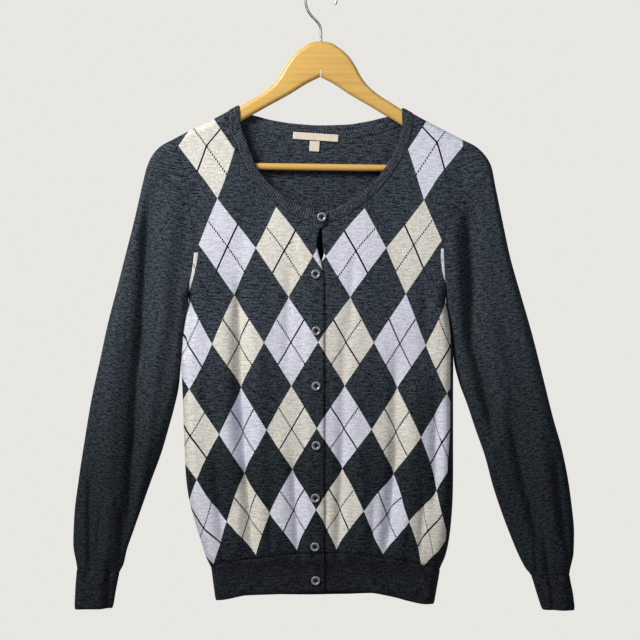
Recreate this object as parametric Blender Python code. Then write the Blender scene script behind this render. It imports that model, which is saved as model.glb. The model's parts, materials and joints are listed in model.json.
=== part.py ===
"""Wool cardigan on a wooden hanger: fine-gauge women's cardigan with ribbed neckband, hem and cuffs.

Metres, +Z up. The origin is the inside top of the hook, where a rail would carry it. -Y faces the
viewer, so the wearer's right side is at -X. Tables are in millimetres and hold outer sizes.
"""
import math

import bmesh
import bpy
import numpy as np
from mathutils import Matrix, Vector

MM = 0.001
CLOTH = 1.3  # wall of the plain knit
RIB = 1.7  # wall of the ribbed bands
GAP = 0.3  # clearance between neighbouring pieces
LAYER = 2.5  # how far the upper front and band stand off the lower ones
OVERLAP = 17.0  # how far the lower front runs under the upper one
LIFT_MARGIN = 2.0  # the upper layer stands off fully this far before the overlap
LIFT_WIDTH = 10.0  # width over which it rises
RIDGE_INSET = 1.43  # from the shoulder line down to the cloth's inner face
RIDGE_TURN = 7.6  # height over which the cloth turns over the wooden shoulder
ROW_PACKING = 1.35  # rows lie closer together below the neckband
COLUMN_PACKING = 1.6  # columns lie closer together at the side

# Hanger
WOOD = 12.0  # thickness of the wooden shoulders
CROWN_TOP = -71.5
HANGER_TILT = math.radians(0.75)
EDGE_FLAT = 0.6  # half the flat left between the rounded edges
BORE_LENGTH = 36.0  # cutter for the hook's bore, centred on the crown
SLOT_SIZE = (0.8, 20.0, 12.0)  # saw cut under the crown
SLOT_HEIGHT = -112.0
BAR_RADIUS = 4.4
BAR_HEIGHT = -229.5
BAR_HALF = 176.0
WIRE_RADIUS = 1.6
HOOK_RADIUS = 19.5
HOOK_SWEEP = 204.0  # degrees of the arc
HOOK_STEM = (  # x, z from the bore's end up to the arc
    (0.0, -88.5), (0.0, -71.5), (0.0, -60.0), (-1.2, -52.5), (-6.5, -45.5), (-12.5, -39.0), (-17.0, -31.5),
    (-19.0, -24.5))

# Right half of the wooden shoulders, seen from the front, from the crown out and back under the arm.
HANGER_OUTLINE = (  # x, z
    (0.0, -71.5), (12.0, -73.5), (24.0, -80.5), (35.0, -90.0), (44.0, -103.0), (51.5, -116.5),
    (61.0, -128.0), (74.0, -138.5), (91.0, -149.0), (101.5, -155.6), (120.0, -166.4), (150.0, -182.0),
    (174.0, -194.4), (185.0, -202.0), (191.5, -211.5), (193.0, -222.0), (190.5, -232.5), (184.0, -239.0),
    (175.0, -240.0), (168.0, -235.0), (163.5, -226.0), (158.0, -216.0), (148.0, -206.5),
    (128.0, -193.0), (100.0, -174.5), (68.0, -155.5), (38.0, -138.5), (16.0, -124.5), (0.0, -116.5))

# Shoulder line: the ridge where the cloth turns over the hanger.
SHOULDER_LINE = (  # x, z
    (-200.0, -203.0), (-185.0, -194.6), (-166.0, -184.5), (-135.0, -169.5), (-102.0, -151.5),
    (-60.0, -129.0), (0.0, -100.0), (60.0, -132.0), (101.5, -154.8), (129.0, -170.0),
    (150.0, -181.0), (177.0, -195.0), (200.0, -208.0))

# Outline and depth of the body at each height, outer sizes. depth is measured from the hanger's plane.
BODY_SECTIONS = (  # z, x_right, x_left, front_depth, back_depth, side_turn
    (-150.0, -166.0, 156.5, 8.0, 8.0, 8.0),
    (-200.0, -166.0, 156.5, 8.5, 8.4, 8.0),
    (-260.0, -166.0, 156.5, 12.5, 9.5, 8.0),
    (-330.0, -166.0, 156.5, 17.0, 11.5, 9.0),
    (-398.0, -166.0, 156.5, 20.5, 13.5, 11.0),
    (-425.0, -168.0, 159.5, 21.5, 14.0, 12.0),
    (-470.0, -172.5, 163.5, 22.5, 14.5, 13.0),
    (-506.0, -173.5, 165.0, 23.0, 15.0, 13.5),
    (-571.0, -171.5, 166.0, 24.0, 15.5, 14.0),
    (-614.0, -169.5, 166.0, 25.0, 16.0, 15.0),
    (-642.0, -166.0, 165.5, 25.5, 16.5, 15.5),
    (-678.0, -156.5, 163.0, 26.0, 17.0, 16.0),
    (-700.0, -149.5, 160.0, 25.5, 16.5, 16.0),
    (-716.0, -144.5, 156.0, 23.5, 15.5, 15.0),
    (-729.0, -138.5, 150.5, 19.5, 13.5, 13.0),
    (-743.0, -134.5, 146.0, 17.5, 12.5, 12.0),
    (-780.0, -131.5, 140.5, 17.0, 12.0, 12.0))

# Soft vertical folds of the body: a ridge has a positive height, a trough a negative one.
FRONT_FOLDS = (  # x_top, z_top, x_bottom, z_bottom, half_width, height
    (-101.0, -410.0, -99.0, -680.0, 15.0, -4.0),
    (-128.0, -470.0, -124.0, -690.0, 12.0, -3.5),
    (-52.0, -560.0, -50.0, -700.0, 12.0, -3.0),
    (-76.0, -520.0, -74.0, -700.0, 12.0, 2.5),
    (22.0, -590.0, 19.0, -700.0, 12.0, -3.2),
    (84.0, -540.0, 86.0, -690.0, 14.0, -3.5),
    (52.0, -600.0, 53.0, -700.0, 12.0, 2.4),
    (140.0, -500.0, 143.0, -680.0, 12.0, -3.5),
    (114.0, -520.0, 116.0, -690.0, 13.0, 2.6),
    (-148.0, -405.0, -160.0, -480.0, 9.0, -3.0),
    (-70.0, -250.0, -118.0, -400.0, 26.0, -2.0),
    (72.0, -250.0, 112.0, -400.0, 26.0, -2.0))
BACK_FOLDS = (
    (-90.0, -430.0, -88.0, -680.0, 18.0, -3.2),
    (-30.0, -500.0, -26.0, -700.0, 16.0, -2.6),
    (38.0, -480.0, 42.0, -700.0, 16.0, -3.0),
    (102.0, -430.0, 104.0, -690.0, 18.0, -3.2))

# Armhole seam seen from the front, from the shoulder down to the underarm.
ARMHOLE_RIGHT = (  # z, x
    (-196.0, -185.0), (-207.0, -179.5), (-221.0, -174.5), (-249.5, -168.5), (-278.0, -164.0),
    (-308.0, -160.0), (-333.0, -158.0), (-351.0, -159.5), (-368.0, -162.0), (-386.0, -164.5),
    (-398.0, -165.5))
ARMHOLE_LEFT = (
    (-196.0, 177.0), (-211.0, 178.0), (-226.0, 175.5), (-243.0, 171.5), (-261.0, 166.5), (-278.0, 161.5),
    (-308.0, 155.5), (-332.0, 153.5), (-348.0, 153.8), (-367.0, 154.8), (-386.0, 155.5), (-398.0, 156.0))
UNDERARM = -398.0
UNDERARM_TURN = 36.0  # height over which the armhole seam turns in to the side

# Neck: inner and outer edges of the neckband at the front, and at the back.
NECK_INNER_RIGHT = (  # z, x
    (-157.0, -102.0), (-174.0, -100.0), (-199.5, -90.0), (-222.0, -80.5), (-240.0, -69.5), (-260.5, -49.0),
    (-278.5, -23.5), (-285.0, -8.0), (-288.0, 8.5))
NECK_OUTER_RIGHT = (
    (-163.5, -116.0), (-179.0, -114.5), (-205.0, -104.5), (-229.5, -94.5), (-250.0, -81.0), (-272.5, -58.5),
    (-292.0, -30.0), (-300.0, -10.0), (-302.5, 6.0))
NECK_INNER_LEFT = (
    (-158.0, 101.5), (-174.0, 101.5), (-194.0, 96.5), (-220.0, 83.5), (-240.0, 69.0), (-260.5, 48.5),
    (-278.5, 23.0), (-285.5, 9.0), (-288.0, -2.5))
NECK_OUTER_LEFT = (
    (-164.5, 115.5), (-179.0, 115.0), (-201.0, 110.5), (-227.5, 97.0), (-250.0, 81.0), (-272.5, 58.0),
    (-292.0, 30.0), (-300.0, 11.0), (-302.5, -1.0))
NECK_BACK_INNER = (  # x, z from below the shoulder's ridge across the back
    (-100.8, -160.5), (-82.5, -164.5), (-61.5, -170.0), (-32.0, -174.5), (0.0, -176.5), (32.0, -175.5),
    (61.5, -171.0), (82.5, -166.0), (100.3, -164.0))
NECK_BACK_OUTER = (
    (-114.8, -169.0), (-90.0, -179.5), (-64.0, -188.0), (-32.0, -192.5), (0.0, -194.0), (32.0, -193.5),
    (64.0, -189.0), (90.0, -181.5), (114.3, -172.0))
BAND_GAP = 0.5  # at the band's seam, where ribs of two heights meet the plain knit
BAND_PITCH = 3.1  # of the neckband's ribs, along its inner edge
RIB_RELIEF = 0.8

# Free edges of the two fronts below the neckband; between the first two buttons they part.
UPPER_EDGE = (  # z, x
    (-302.0, 6.0), (-306.0, 0.5), (-315.5, -3.5), (-326.0, -5.0), (-336.0, -3.5), (-352.0, 1.0),
    (-374.0, 4.0), (-721.0, 4.0), (-758.0, 4.5))
LOWER_EDGE = (
    (-302.0, -1.0), (-306.0, 0.5), (-315.5, 1.8), (-326.0, 2.2), (-338.0, 3.5), (-348.0, 0.5),
    (-372.0, -14.5), (-721.0, -14.5), (-758.0, -13.0))

# Seam above the hem rib, and the rib's lower edge.
HEM_SEAM = (  # x, z
    (-175.0, -735.0), (-138.0, -729.5), (-121.0, -722.5), (-101.0, -720.0), (-70.0, -716.0), (-38.5, -712.5),
    (-7.5, -711.0), (20.0, -711.0), (49.0, -713.0), (80.0, -717.0), (111.5, -722.0), (149.5, -732.0),
    (175.0, -740.0))
HEM_EDGE = (
    (-175.0, -775.0), (-128.0, -770.5), (-115.5, -768.5), (-92.5, -764.0), (-52.5, -762.5), (0.0, -759.5),
    (27.5, -759.0), (59.0, -760.5), (92.5, -766.5), (109.0, -771.0), (130.0, -775.0), (175.0, -776.0))
SIDE_HEM = (-731.0, -770.0)  # the same two edges at the side lines
BACK_DROPS = (  # x, how much lower the back's rib ends than the fronts'
    (-140.0, 1.0), (-95.0, 1.0), (-54.0, 2.8), (0.0, 6.0), (27.0, 6.0), (59.0, 3.5), (85.0, 1.0), (140.0, 1.0))

# Sleeves: at each section the inner and outer points seen from the front, and the depth to each side.
SLEEVE_RIGHT = (  # x_inner, z_inner, x_outer, z_outer, front, back, middle
    (-165.5, -398.0, -185.0, -196.0, 8.0, 8.0, 0.0),
    (-168.0, -407.0, -199.0, -203.0, 11.0, 10.0, 0.5),
    (-168.7, -417.0, -209.5, -213.5, 13.0, 11.5, 0.5),
    (-169.8, -430.0, -216.5, -227.5, 14.0, 12.5, 0.5),
    (-171.8, -448.0, -222.5, -250.5, 15.0, 13.5, 0.5),
    (-174.5, -472.0, -233.0, -296.0, 16.0, 14.5, 0.5),
    (-177.0, -505.0, -243.0, -335.0, 16.0, 15.0, 0.5),
    (-182.0, -531.0, -254.5, -380.0, 16.0, 15.0, 0.5),
    (-190.0, -558.0, -266.0, -424.0, 16.0, 15.0, 0.5),
    (-200.0, -587.0, -276.0, -470.0, 16.0, 15.0, 0.5),
    (-212.5, -621.0, -286.5, -518.0, 15.5, 14.5, 0.5),
    (-224.5, -655.0, -295.0, -568.0, 15.0, 14.0, 0.5),
    (-235.0, -685.0, -303.0, -620.0, 15.0, 14.0, 0.5),
    (-243.5, -710.0, -308.5, -664.0, 15.0, 14.0, 0.5),
    (-247.0, -726.0, -310.0, -700.0, 14.5, 13.5, 0.5),
    (-252.0, -736.5, -305.5, -731.5, 12.5, 11.5, 0.5),
    (-256.0, -754.5, -307.0, -752.0, 12.0, 11.0, 0.5),
    (-260.5, -781.0, -308.5, -783.0, 12.5, 11.0, 0.5))
SLEEVE_LEFT = (
    (156.0, -398.0, 177.0, -196.0, 8.0, 8.0, 0.0),
    (158.7, -407.0, 192.0, -203.0, 11.0, 10.0, 0.5),
    (159.8, -417.0, 204.0, -213.5, 13.0, 11.5, 0.5),
    (161.2, -430.0, 212.5, -228.0, 14.0, 12.5, 0.5),
    (163.4, -448.0, 217.5, -252.0, 15.0, 13.5, 0.5),
    (166.5, -474.0, 227.0, -298.0, 16.0, 14.5, 0.5),
    (174.0, -500.0, 236.5, -342.0, 16.0, 15.0, 0.5),
    (183.5, -526.0, 249.0, -386.0, 16.0, 15.0, 0.5),
    (194.5, -559.0, 263.5, -436.0, 16.0, 15.0, 0.5),
    (206.0, -592.0, 277.0, -489.0, 16.0, 15.0, 0.5),
    (215.5, -628.0, 290.0, -541.0, 15.5, 14.5, 0.5),
    (226.0, -660.0, 302.0, -584.0, 15.0, 14.0, 0.5),
    (238.0, -692.0, 311.5, -634.0, 15.0, 14.0, 0.5),
    (248.5, -717.0, 317.0, -686.0, 15.0, 14.0, 0.5),
    (256.0, -731.0, 316.5, -711.0, 14.5, 13.5, 0.5),
    (263.0, -740.0, 311.5, -739.0, 12.5, 11.5, 0.5),
    (270.0, -761.0, 315.5, -763.0, 12.0, 11.0, 0.5),
    (277.0, -783.0, 318.0, -784.0, 12.5, 11.0, 0.5))
CUFF_ROW = 15  # section at the seam between sleeve and cuff
OUTER_TURN = (7.5, 1.5)  # width over which the sleeve turns at its outer line, and its growth a section
INNER_TURN = (9.0, 1.2)
TURN_ROWS = 12.0  # sections over which these grow
SHARE_FADE = 6.0  # sections over which the ring's places even out
SLEEVE_STEP = 3.0  # how far the sleeve's edge stands off the body under the arm
SLEEVE_FOLDS = (  # x_top, z_top, x_bottom, z_bottom, half_width, height, for the right sleeve
    (-213.0, -310.0, -224.0, -470.0, 14.0, -3.2),
    (-188.0, -280.0, -200.0, -480.0, 14.0, 2.4),
    (-283.0, -540.0, -290.0, -700.0, 10.0, -2.5),
    (-262.0, -620.0, -270.0, -715.0, 11.0, 2.5))
SLEEVE_FOLDS_LEFT = (
    (186.0, -325.0, 187.0, -445.0, 14.0, -3.6),
    (187.0, -445.0, 208.0, -520.0, 14.0, -2.6),
    (166.0, -270.0, 172.0, -440.0, 12.0, 1.6),
    (236.0, -480.0, 268.0, -640.0, 12.0, 2.5),
    (272.0, -600.0, 287.0, -715.0, 10.0, -2.5))

BUTTONS = (  # x, z
    (1.0, -293.0), (-6.5, -364.0), (-6.0, -434.5), (-6.0, -503.0), (-6.0, -577.0), (-7.0, -642.0),
    (-7.5, -702.0), (-6.5, -745.0))
BUTTON_RADIUS = 5.7
BUTTON_PROFILE = (  # radius share, height above the back
    (0.0, 1.3), (0.52, 1.3), (0.66, 2.3), (0.88, 2.3), (1.0, 1.3), (0.9, 0.0), (0.0, 0.0))

LABEL_SIZE = (57.0, 9.0)
LABEL_PLACE = (-6.5, -191.0)
LABEL_TILT = math.radians(-3.8)
TAB_SIZE = (12.5, 13.0)
TAB_PLACE = (-8.0, -202.8)
LABEL_WALL = 1.0
LABEL_GAP = 0.42

# Rows of the walls, closer together where the cloth turns over the shoulder and under the arm
ARM_SHARES = (0.0, 0.006, 0.018, 0.042, 0.11, 0.24, 0.42, 0.60, 0.75, 0.86, 0.93, 0.975, 1.0)
RIDGE_ARCS = (0.0, 4.2, 7.8, 12.0)  # along the cloth from the ridge down to where it hangs straight
RIDGE_DROPS = (1.2, 3.6, 8.0)  # the same places, as heights below the ridge
SHOULDER_SHARES = (0.0, 0.34, 0.68)
BACK_NECK_SHARES = (0.08, 0.21, 0.36, 0.5, 0.64, 0.79, 0.92)
ARM_ROWS = len(ARM_SHARES) - 1
NECK_ROWS = ARM_ROWS - 1
BODY_ROWS = 13
FRONT_COLUMNS = 14
FRONT_SHARES = [1 - (1 - c / FRONT_COLUMNS) ** COLUMN_PACKING for c in range(FRONT_COLUMNS + 1)]
HEM_ROWS = (0.0, 0.18, 0.38, 0.66, 1.0)
SLEEVE_RINGS = 18
CUFF_RINGS = 4

COLORS = {"knit": (0.034, 0.040, 0.050), "wood": (0.62, 0.42, 0.12),
          "metal": (0.62, 0.60, 0.57), "button": (0.09, 0.09, 0.10), "label": (0.72, 0.62, 0.58)}


# ---------------------------------------------------------------- curves and tables

def along(table, column, at):
    """Smooth value of one column of a table where its first column equals at."""
    keys = [row[0] for row in table]
    values = [row[column] for row in table]
    if keys[0] > keys[-1]:
        keys = keys[::-1]
        values = values[::-1]
    at = min(max(at, keys[0]), keys[-1])
    i = min(max(int(np.searchsorted(keys, at)) - 1, 0), len(keys) - 2)
    span = keys[i + 1] - keys[i]
    t = (at - keys[i]) / span
    return hermite(t, span, values, keys, i)


def slope(values, keys, i):
    """Slope at row i that never overshoots its neighbours."""
    if i == 0 or i == len(keys) - 1:
        j = 0 if i == 0 else i - 1
        return (values[j + 1] - values[j]) / (keys[j + 1] - keys[j])
    before = (values[i] - values[i - 1]) / (keys[i] - keys[i - 1])
    after = (values[i + 1] - values[i]) / (keys[i + 1] - keys[i])
    if before * after <= 0.0:
        return 0.0
    return 2.0 * before * after / (before + after)


def hermite(t, span, values, keys, i):
    a = slope(values, keys, i) * span
    b = slope(values, keys, i + 1) * span
    start = (1 + 2 * t) * (1 - t) ** 2 * values[i] + t * (1 - t) ** 2 * a
    return start + t * t * (3 - 2 * t) * values[i + 1] + t * t * (t - 1) * b


def row_at(table, position):
    """All columns of a table, smoothly, at a fractional row number."""
    keys = list(range(len(table)))
    position = min(max(position, 0.0), len(table) - 1.0)
    i = min(int(position), len(table) - 2)
    columns = range(len(table[0]))
    return [hermite(position - i, 1.0, [row[c] for row in table], keys, i) for c in columns]


def ease(value, start, end):
    """0 before start, 1 after end, smooth between."""
    t = min(max((value - start) / (end - start), 0.0), 1.0)
    return t * t * (3 - 2 * t)


def fold_height(folds, x, z):
    """Height of the soft folds at a place seen from the front."""
    total = 0.0
    for x_top, z_top, x_bottom, z_bottom, half_width, height in folds:
        length = z_top - z_bottom
        t = (z_top - z) / length
        reach = ease(t, -0.18, 0.22) * (1.0 - ease(t, 0.82, 1.16))
        across = (x - (x_top + (x_bottom - x_top) * min(max(t, 0.0), 1.0))) / half_width
        total += height * reach * math.exp(-across * across)
    return total


# ---------------------------------------------------------------- form of the body

def ridge_height(x):
    """Height of the cloth's inner face on the shoulder ridge."""
    return along(SHOULDER_LINE, 1, x) - RIDGE_INSET


def side_line(side, z):
    """Where the cloth's inner face turns from the front to the back, seen from the front."""
    return along(BODY_SECTIONS, 1 if side < 0 else 2, z) - side * CLOTH


def under_arm(z):
    """0 up the armhole, 1 from the underarm down."""
    return ease(UNDERARM + UNDERARM_TURN - z, 0.0, UNDERARM_TURN)


def body_terms(x, z, back):
    """Depth, turn at the shoulder ridge (1 on it) and turn at the side (1 at the side line)."""
    depth = along(BODY_SECTIONS, 4 if back else 3, z) - CLOTH
    depth += fold_height(BACK_FOLDS if back else FRONT_FOLDS, x, z)
    top = max(0.0, 1.0 - (ridge_height(x) - z) / RIDGE_TURN)
    side_turn = along(BODY_SECTIONS, 5, z)
    inward = min(x - side_line(-1, z), side_line(1, z) - x)
    near = under_arm(z)
    side = max(0.0, 1.0 - inward / side_turn) * math.sqrt(near)
    return depth, top, side


def body_level(x, y, z, back):
    """Zero on the inner face of the cloth, growing outwards."""
    depth, top, side = body_terms(x, z, back)
    sign = 1.0 if back else -1.0
    reach = max(0.0, y * sign - GAP / 2) / depth
    return reach * reach + top * top + side * side - 1.0


def body_point(x, z, back):
    depth, top, side = body_terms(x, z, back)
    sign = 1.0 if back else -1.0
    reach = math.sqrt(max(0.0, 1.0 - top * top - side * side))
    return Vector((x, sign * (GAP / 2 + depth * reach), z))


def body_normal(point, back):
    """Outward direction at a point of the cloth's inner face."""
    x, y, z = point
    sign = 1.0 if back else -1.0
    y = sign * max(abs(y), GAP / 2 + 0.02)
    step = 0.05
    gx = body_level(x + step, y, z, back) - body_level(x - step, y, z, back)
    gz = body_level(x, y, z + step, back) - body_level(x, y, z - step, back)
    depth, top, side = body_terms(x, z, back)
    gy = 2 * step * 2 * (y - sign * GAP / 2) / (depth * depth)
    normal = Vector((gx, gy, gz))
    return normal.normalized()


def lifted(x, z):
    """Stand-off of the upper layer near its free edge."""
    start = along(UPPER_EDGE, 1, z) - OVERLAP - LIFT_MARGIN
    return LAYER * ease(x, start - LIFT_WIDTH, start)


# ---------------------------------------------------------------- mesh building

def wall(name, points, normals, thickness, closed=False):
    """A cloth wall from a grid of inner points, moved out along the normals."""
    rows = len(points)
    columns = len(points[0])
    vertices = []
    for r in range(rows):
        for c in range(columns):
            vertices.append(points[r][c])
    for r in range(rows):
        for c in range(columns):
            amount = thickness(r, c) if callable(thickness) else thickness
            vertices.append(points[r][c] + normals[r][c] * amount)
    outer = rows * columns

    def corner(r, c):
        return r * columns + c % columns

    faces = []
    steps = columns if closed else columns - 1
    for r in range(rows - 1):
        for c in range(steps):
            quad = (corner(r, c), corner(r, c + 1), corner(r + 1, c + 1), corner(r + 1, c))
            for triangle in split_quad(vertices, quad):
                faces.append(triangle)
                faces.append(tuple(outer + v for v in reversed(triangle)))
    border = []
    for c in range(steps):
        border.append((corner(0, c), corner(0, c + 1)))
        border.append((corner(rows - 1, c + 1), corner(rows - 1, c)))
    if not closed:
        for r in range(rows - 1):
            border.append((corner(r + 1, 0), corner(r, 0)))
            border.append((corner(r, columns - 1), corner(r + 1, columns - 1)))
    for a, b in border:
        faces.append((b, a, outer + a, outer + b))
    return mesh_object(name, vertices, faces)


def split_quad(vertices, quad):
    """Two triangles across the shorter diagonal, so that both faces of a wall fold alike."""
    a, b, c, d = quad
    if (vertices[a] - vertices[c]).length <= (vertices[b] - vertices[d]).length:
        return (a, b, c), (a, c, d)
    return (a, b, d), (b, c, d)


def mesh_object(name, vertices, faces):
    mesh = bpy.data.meshes.new(name)
    mesh.from_pydata([v * MM for v in vertices], [], faces)
    body = bmesh.new()
    body.from_mesh(mesh)
    bmesh.ops.recalc_face_normals(body, faces=body.faces)
    body.to_mesh(mesh)
    body.free()
    mesh.shade_smooth()
    mesh.set_sharp_from_angle(angle=math.radians(50))
    return place(bpy.data.objects.new(name, mesh))


def place(item):
    parts.objects.link(item)
    return item


def grid_normals(points, outward, closed=False):
    """Normals of a grid, each on the side that outward(point) gives."""
    rows = len(points)
    columns = len(points[0])
    result = []
    for r in range(rows):
        line = []
        for c in range(columns):
            if closed:
                before, after = points[r][c - 1], points[r][(c + 1) % columns]
            else:
                before, after = points[r][max(c - 1, 0)], points[r][min(c + 1, columns - 1)]
            along_rows = points[min(r + 1, rows - 1)][c] - points[max(r - 1, 0)][c]
            normal = (after - before).cross(along_rows)
            if normal.dot(outward(points[r][c])) < 0:
                normal = -normal
            line.append(normal.normalized())
        result.append(line)
    return result


# ---------------------------------------------------------------- body panels

def armhole_point(side, share):
    """Place on an armhole seam, seen from the front; share 0 is the shoulder, 1 the underarm."""
    table = ARMHOLE_RIGHT if side < 0 else ARMHOLE_LEFT
    top = ridge_height(table[0][1])
    bottom = table[-1][0]
    z = top + (bottom - top) * share
    x = along(table, 1, z)
    return x + (side_line(side, z) - x) * under_arm(z), z


def outer_boundary(side, k):
    """Outer edge of a body panel at row k: the armhole seam, then the side line."""
    if k <= ARM_ROWS:
        x, z = armhole_point(side, ARM_SHARES[k])
        return x - side * GAP / 2 * (1 if k < ARM_ROWS else 0), z
    z_seam = along(HEM_SEAM, 1, side_line(side, SIDE_HEM[0])) + GAP / 2
    t = (k - ARM_ROWS) / BODY_ROWS
    z = UNDERARM + (z_seam - UNDERARM) * t
    return side_line(side, z), z


def front_inner_boundary(side, k):
    """Inner edge of a front at row k: the neckband's seam, then the free edge."""
    neck = NECK_OUTER_RIGHT if side < 0 else NECK_OUTER_LEFT
    edge = UPPER_EDGE if side < 0 else LOWER_EDGE
    bottom = neck[-1][0]
    if k <= NECK_ROWS:
        point = neck_curve(neck, neck_arcs)[k]
        return point.x, point.z
    end = along(HEM_SEAM, 1, 0.0) + GAP / 2
    t = (k - NECK_ROWS) / (ARM_ROWS + BODY_ROWS - NECK_ROWS)
    z = bottom + (end - bottom) * t ** ROW_PACKING
    return along(edge, 1, z), z


def neck_arcs(length):
    """Distances along a neck curve at the panels' rows: close on the ridge, then even."""
    even = NECK_ROWS + 1 - len(RIDGE_ARCS)
    rest = length - RIDGE_ARCS[-1]
    return list(RIDGE_ARCS) + [RIDGE_ARCS[-1] + rest * (k + 1) / even for k in range(even)]


def neck_curve(table, arcs=None):
    """Front neck curve on the cloth's form, from the ridge down: finely, or at the given distances."""
    rows = [(ridge_height(table[0][1]), table[0][1])] + list(table[1:])
    steps = 240
    line = []
    for k in range(steps + 1):
        z, x = row_at(rows, (len(rows) - 1) * (k / steps) ** 2)
        line.append(body_point(x, z, False))
    if arcs is None:
        return line
    lengths = path_lengths(line)
    return [point_along(line, lengths, arc) for arc in arcs(lengths[-1])]


def path_lengths(line):
    lengths = [0.0]
    for a, b in zip(line, line[1:]):
        lengths.append(lengths[-1] + (b - a).length)
    return lengths


def point_along(line, lengths, target):
    i = min(max(int(np.searchsorted(lengths, target)) - 1, 0), len(line) - 2)
    t = (target - lengths[i]) / (lengths[i + 1] - lengths[i])
    return line[i].lerp(line[i + 1], min(max(t, 0.0), 1.0))


def resample(line, count):
    """Points at even steps along a polyline."""
    lengths = path_lengths(line)
    return [point_along(line, lengths, lengths[-1] * k / (count - 1)) for k in range(count)]


def front_panel(side):
    """One front: wearer's right at side -1 lies over the left at the closure."""
    points = []
    normals = []
    rows = ARM_ROWS + BODY_ROWS + 1
    for k in range(rows):
        inner_x, inner_z = front_inner_boundary(side, k)
        outer_x, outer_z = outer_boundary(side, k)
        line = []
        line_normals = []
        for t in FRONT_SHARES:
            x = inner_x + (outer_x - inner_x) * t
            z = inner_z + (outer_z - inner_z) * t
            if k == 0:
                z = ridge_height(x)
            if k == rows - 1:
                z = along(HEM_SEAM, 1, x) + GAP / 2
            point = body_point(x, z, False)
            normal = body_normal(point, False)
            if side < 0:
                point = point + normal * lifted(x, z)
            line.append(point)
            line_normals.append(normal)
        points.append(line)
        normals.append(line_normals)
    return wall("front_right" if side < 0 else "front_left", points, normals, CLOTH)


def neck_corner(x, end_x):
    """Places where a neck curve leaves the shoulder ridge and runs down the back."""
    turn = RIDGE_DROPS[-1]
    return [(x + (end_x - x) * drop / turn, ridge_height(x) - drop) for drop in RIDGE_DROPS]


def back_top_row():
    """Top edge of the back, from the right armhole: shoulder, neck seam, shoulder."""
    right_x = outer_boundary(-1, 0)[0]
    left_x = outer_boundary(1, 0)[0]
    first = NECK_OUTER_RIGHT[0][1]
    last = NECK_OUTER_LEFT[0][1]
    row = [(right_x + (first - right_x) * t, None) for t in SHOULDER_SHARES] + [(first, None)]
    row += neck_corner(first, NECK_BACK_OUTER[0][0])
    start = row[-1][0]
    end = NECK_BACK_OUTER[-1][0]
    for t in BACK_NECK_SHARES:
        x = start + (end - start) * t
        row.append((x, along(NECK_BACK_OUTER, 1, x)))
    row += neck_corner(last, end)[::-1] + [(last, None)]
    row += [(left_x + (last - left_x) * t, None) for t in SHOULDER_SHARES[::-1]]
    return [(x, ridge_height(x) if z is None else z) for x, z in row]


def back_shares(columns):
    """Even steps across the back, a little closer together at the sides."""
    last = columns - 1
    return [((1 - math.cos(math.pi * c / last)) / 2 + c / last) / 2 for c in range(columns)]


def back_panel():
    """The back; its columns fan out from the neck's corners to even steps below."""
    top = back_top_row()
    columns = len(top)
    even = back_shares(columns)
    points = []
    normals = []
    rows = ARM_ROWS + BODY_ROWS + 1
    for k in range(rows):
        right_x, right_z = outer_boundary(-1, k)
        left_x, left_z = outer_boundary(1, k)
        line = []
        line_normals = []
        for c, (top_x, top_z) in enumerate(top):
            near_right = max(0.0, 1 - c / len(SHOULDER_SHARES))
            near_left = max(0.0, 1 - (columns - 1 - c) / len(SHOULDER_SHARES))
            x = top_x + (right_x - top[0][0]) * near_right + (left_x - top[-1][0]) * near_left
            x += (right_x + (left_x - right_x) * even[c] - x) * ease(k, 4.0, ARM_ROWS)
            z = right_z + (left_z - right_z) * (x - right_x) / (left_x - right_x)
            if k < ARM_ROWS:
                z = top_z + (UNDERARM - top_z) * ARM_SHARES[k]
            if k == rows - 1:
                z = along(HEM_SEAM, 1, x) + GAP / 2
            point = body_point(x, z, True)
            line.append(point)
            line_normals.append(body_normal(point, True))
        points.append(line)
        normals.append(line_normals)
    return wall("back_panel", points, normals, CLOTH)


# ---------------------------------------------------------------- ribbed bands

def neck_back_curve():
    """Inner edge of the neckband across the back, from ridge to ridge."""
    first = NECK_INNER_RIGHT[0][1]
    last = NECK_INNER_LEFT[0][1]
    start = NECK_BACK_INNER[0][0]
    end = NECK_BACK_INNER[-1][0]
    steps = 60
    middle = [start + (end - start) * k / steps for k in range(1, steps)]
    row = [(first, ridge_height(first))] + neck_corner(first, start)
    row += [(x, along(NECK_BACK_INNER, 1, x)) for x in middle]
    row += neck_corner(last, end)[::-1] + [(last, ridge_height(last))]
    return [body_point(x, z, True) for x, z in row]


def neck_seam(side):
    """The neckband's seam with a front, through the front's own corners."""
    line = []
    for k in range(NECK_ROWS + 1):
        x, z = front_inner_boundary(side, k)
        line.append(body_point(x, z, False))
    return line


def neck_seam_back():
    """The neckband's seam with the back, through the back's own corners."""
    shoulder = len(SHOULDER_SHARES)
    return [body_point(x, z, True) for x, z in back_top_row()[shoulder:-shoulder]]


def neckband():
    """A ribbed strip round the neck, from the right end, which laps over, round the back to the left."""
    inner_parts = (neck_curve(NECK_INNER_RIGHT)[::-1], neck_back_curve(), neck_curve(NECK_INNER_LEFT))
    seam_parts = (neck_seam(-1)[::-1], neck_seam_back(), neck_seam(1))
    points = []
    upper_rows = 0
    for inside, seam in zip(inner_parts, seam_parts):
        count = 2 * int(round(path_lengths(inside)[-1] / BAND_PITCH)) + 1
        pairs = list(zip(resample(inside, count), resample(seam, count)))
        for a, b in pairs[1 if points else 0:]:
            points.append([a, b + (a - b).normalized() * BAND_GAP])
        upper_rows = upper_rows or len(points)
    normals = grid_normals(points, band_outward)
    for line, line_normals in list(zip(points, normals))[:upper_rows]:
        for c in range(2):
            line[c] = line[c] + line_normals[c] * lifted(line[c].x, line[c].z)
    return wall("neckband", points, normals, lambda r, c: RIB + RIB_RELIEF * (r % 2 - 0.5))


def band_outward(point):
    """Roughly the side of the neckband that shows."""
    return Vector((0.0, 1.0 if point.y > 0 else -1.0, 0.6))


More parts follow.
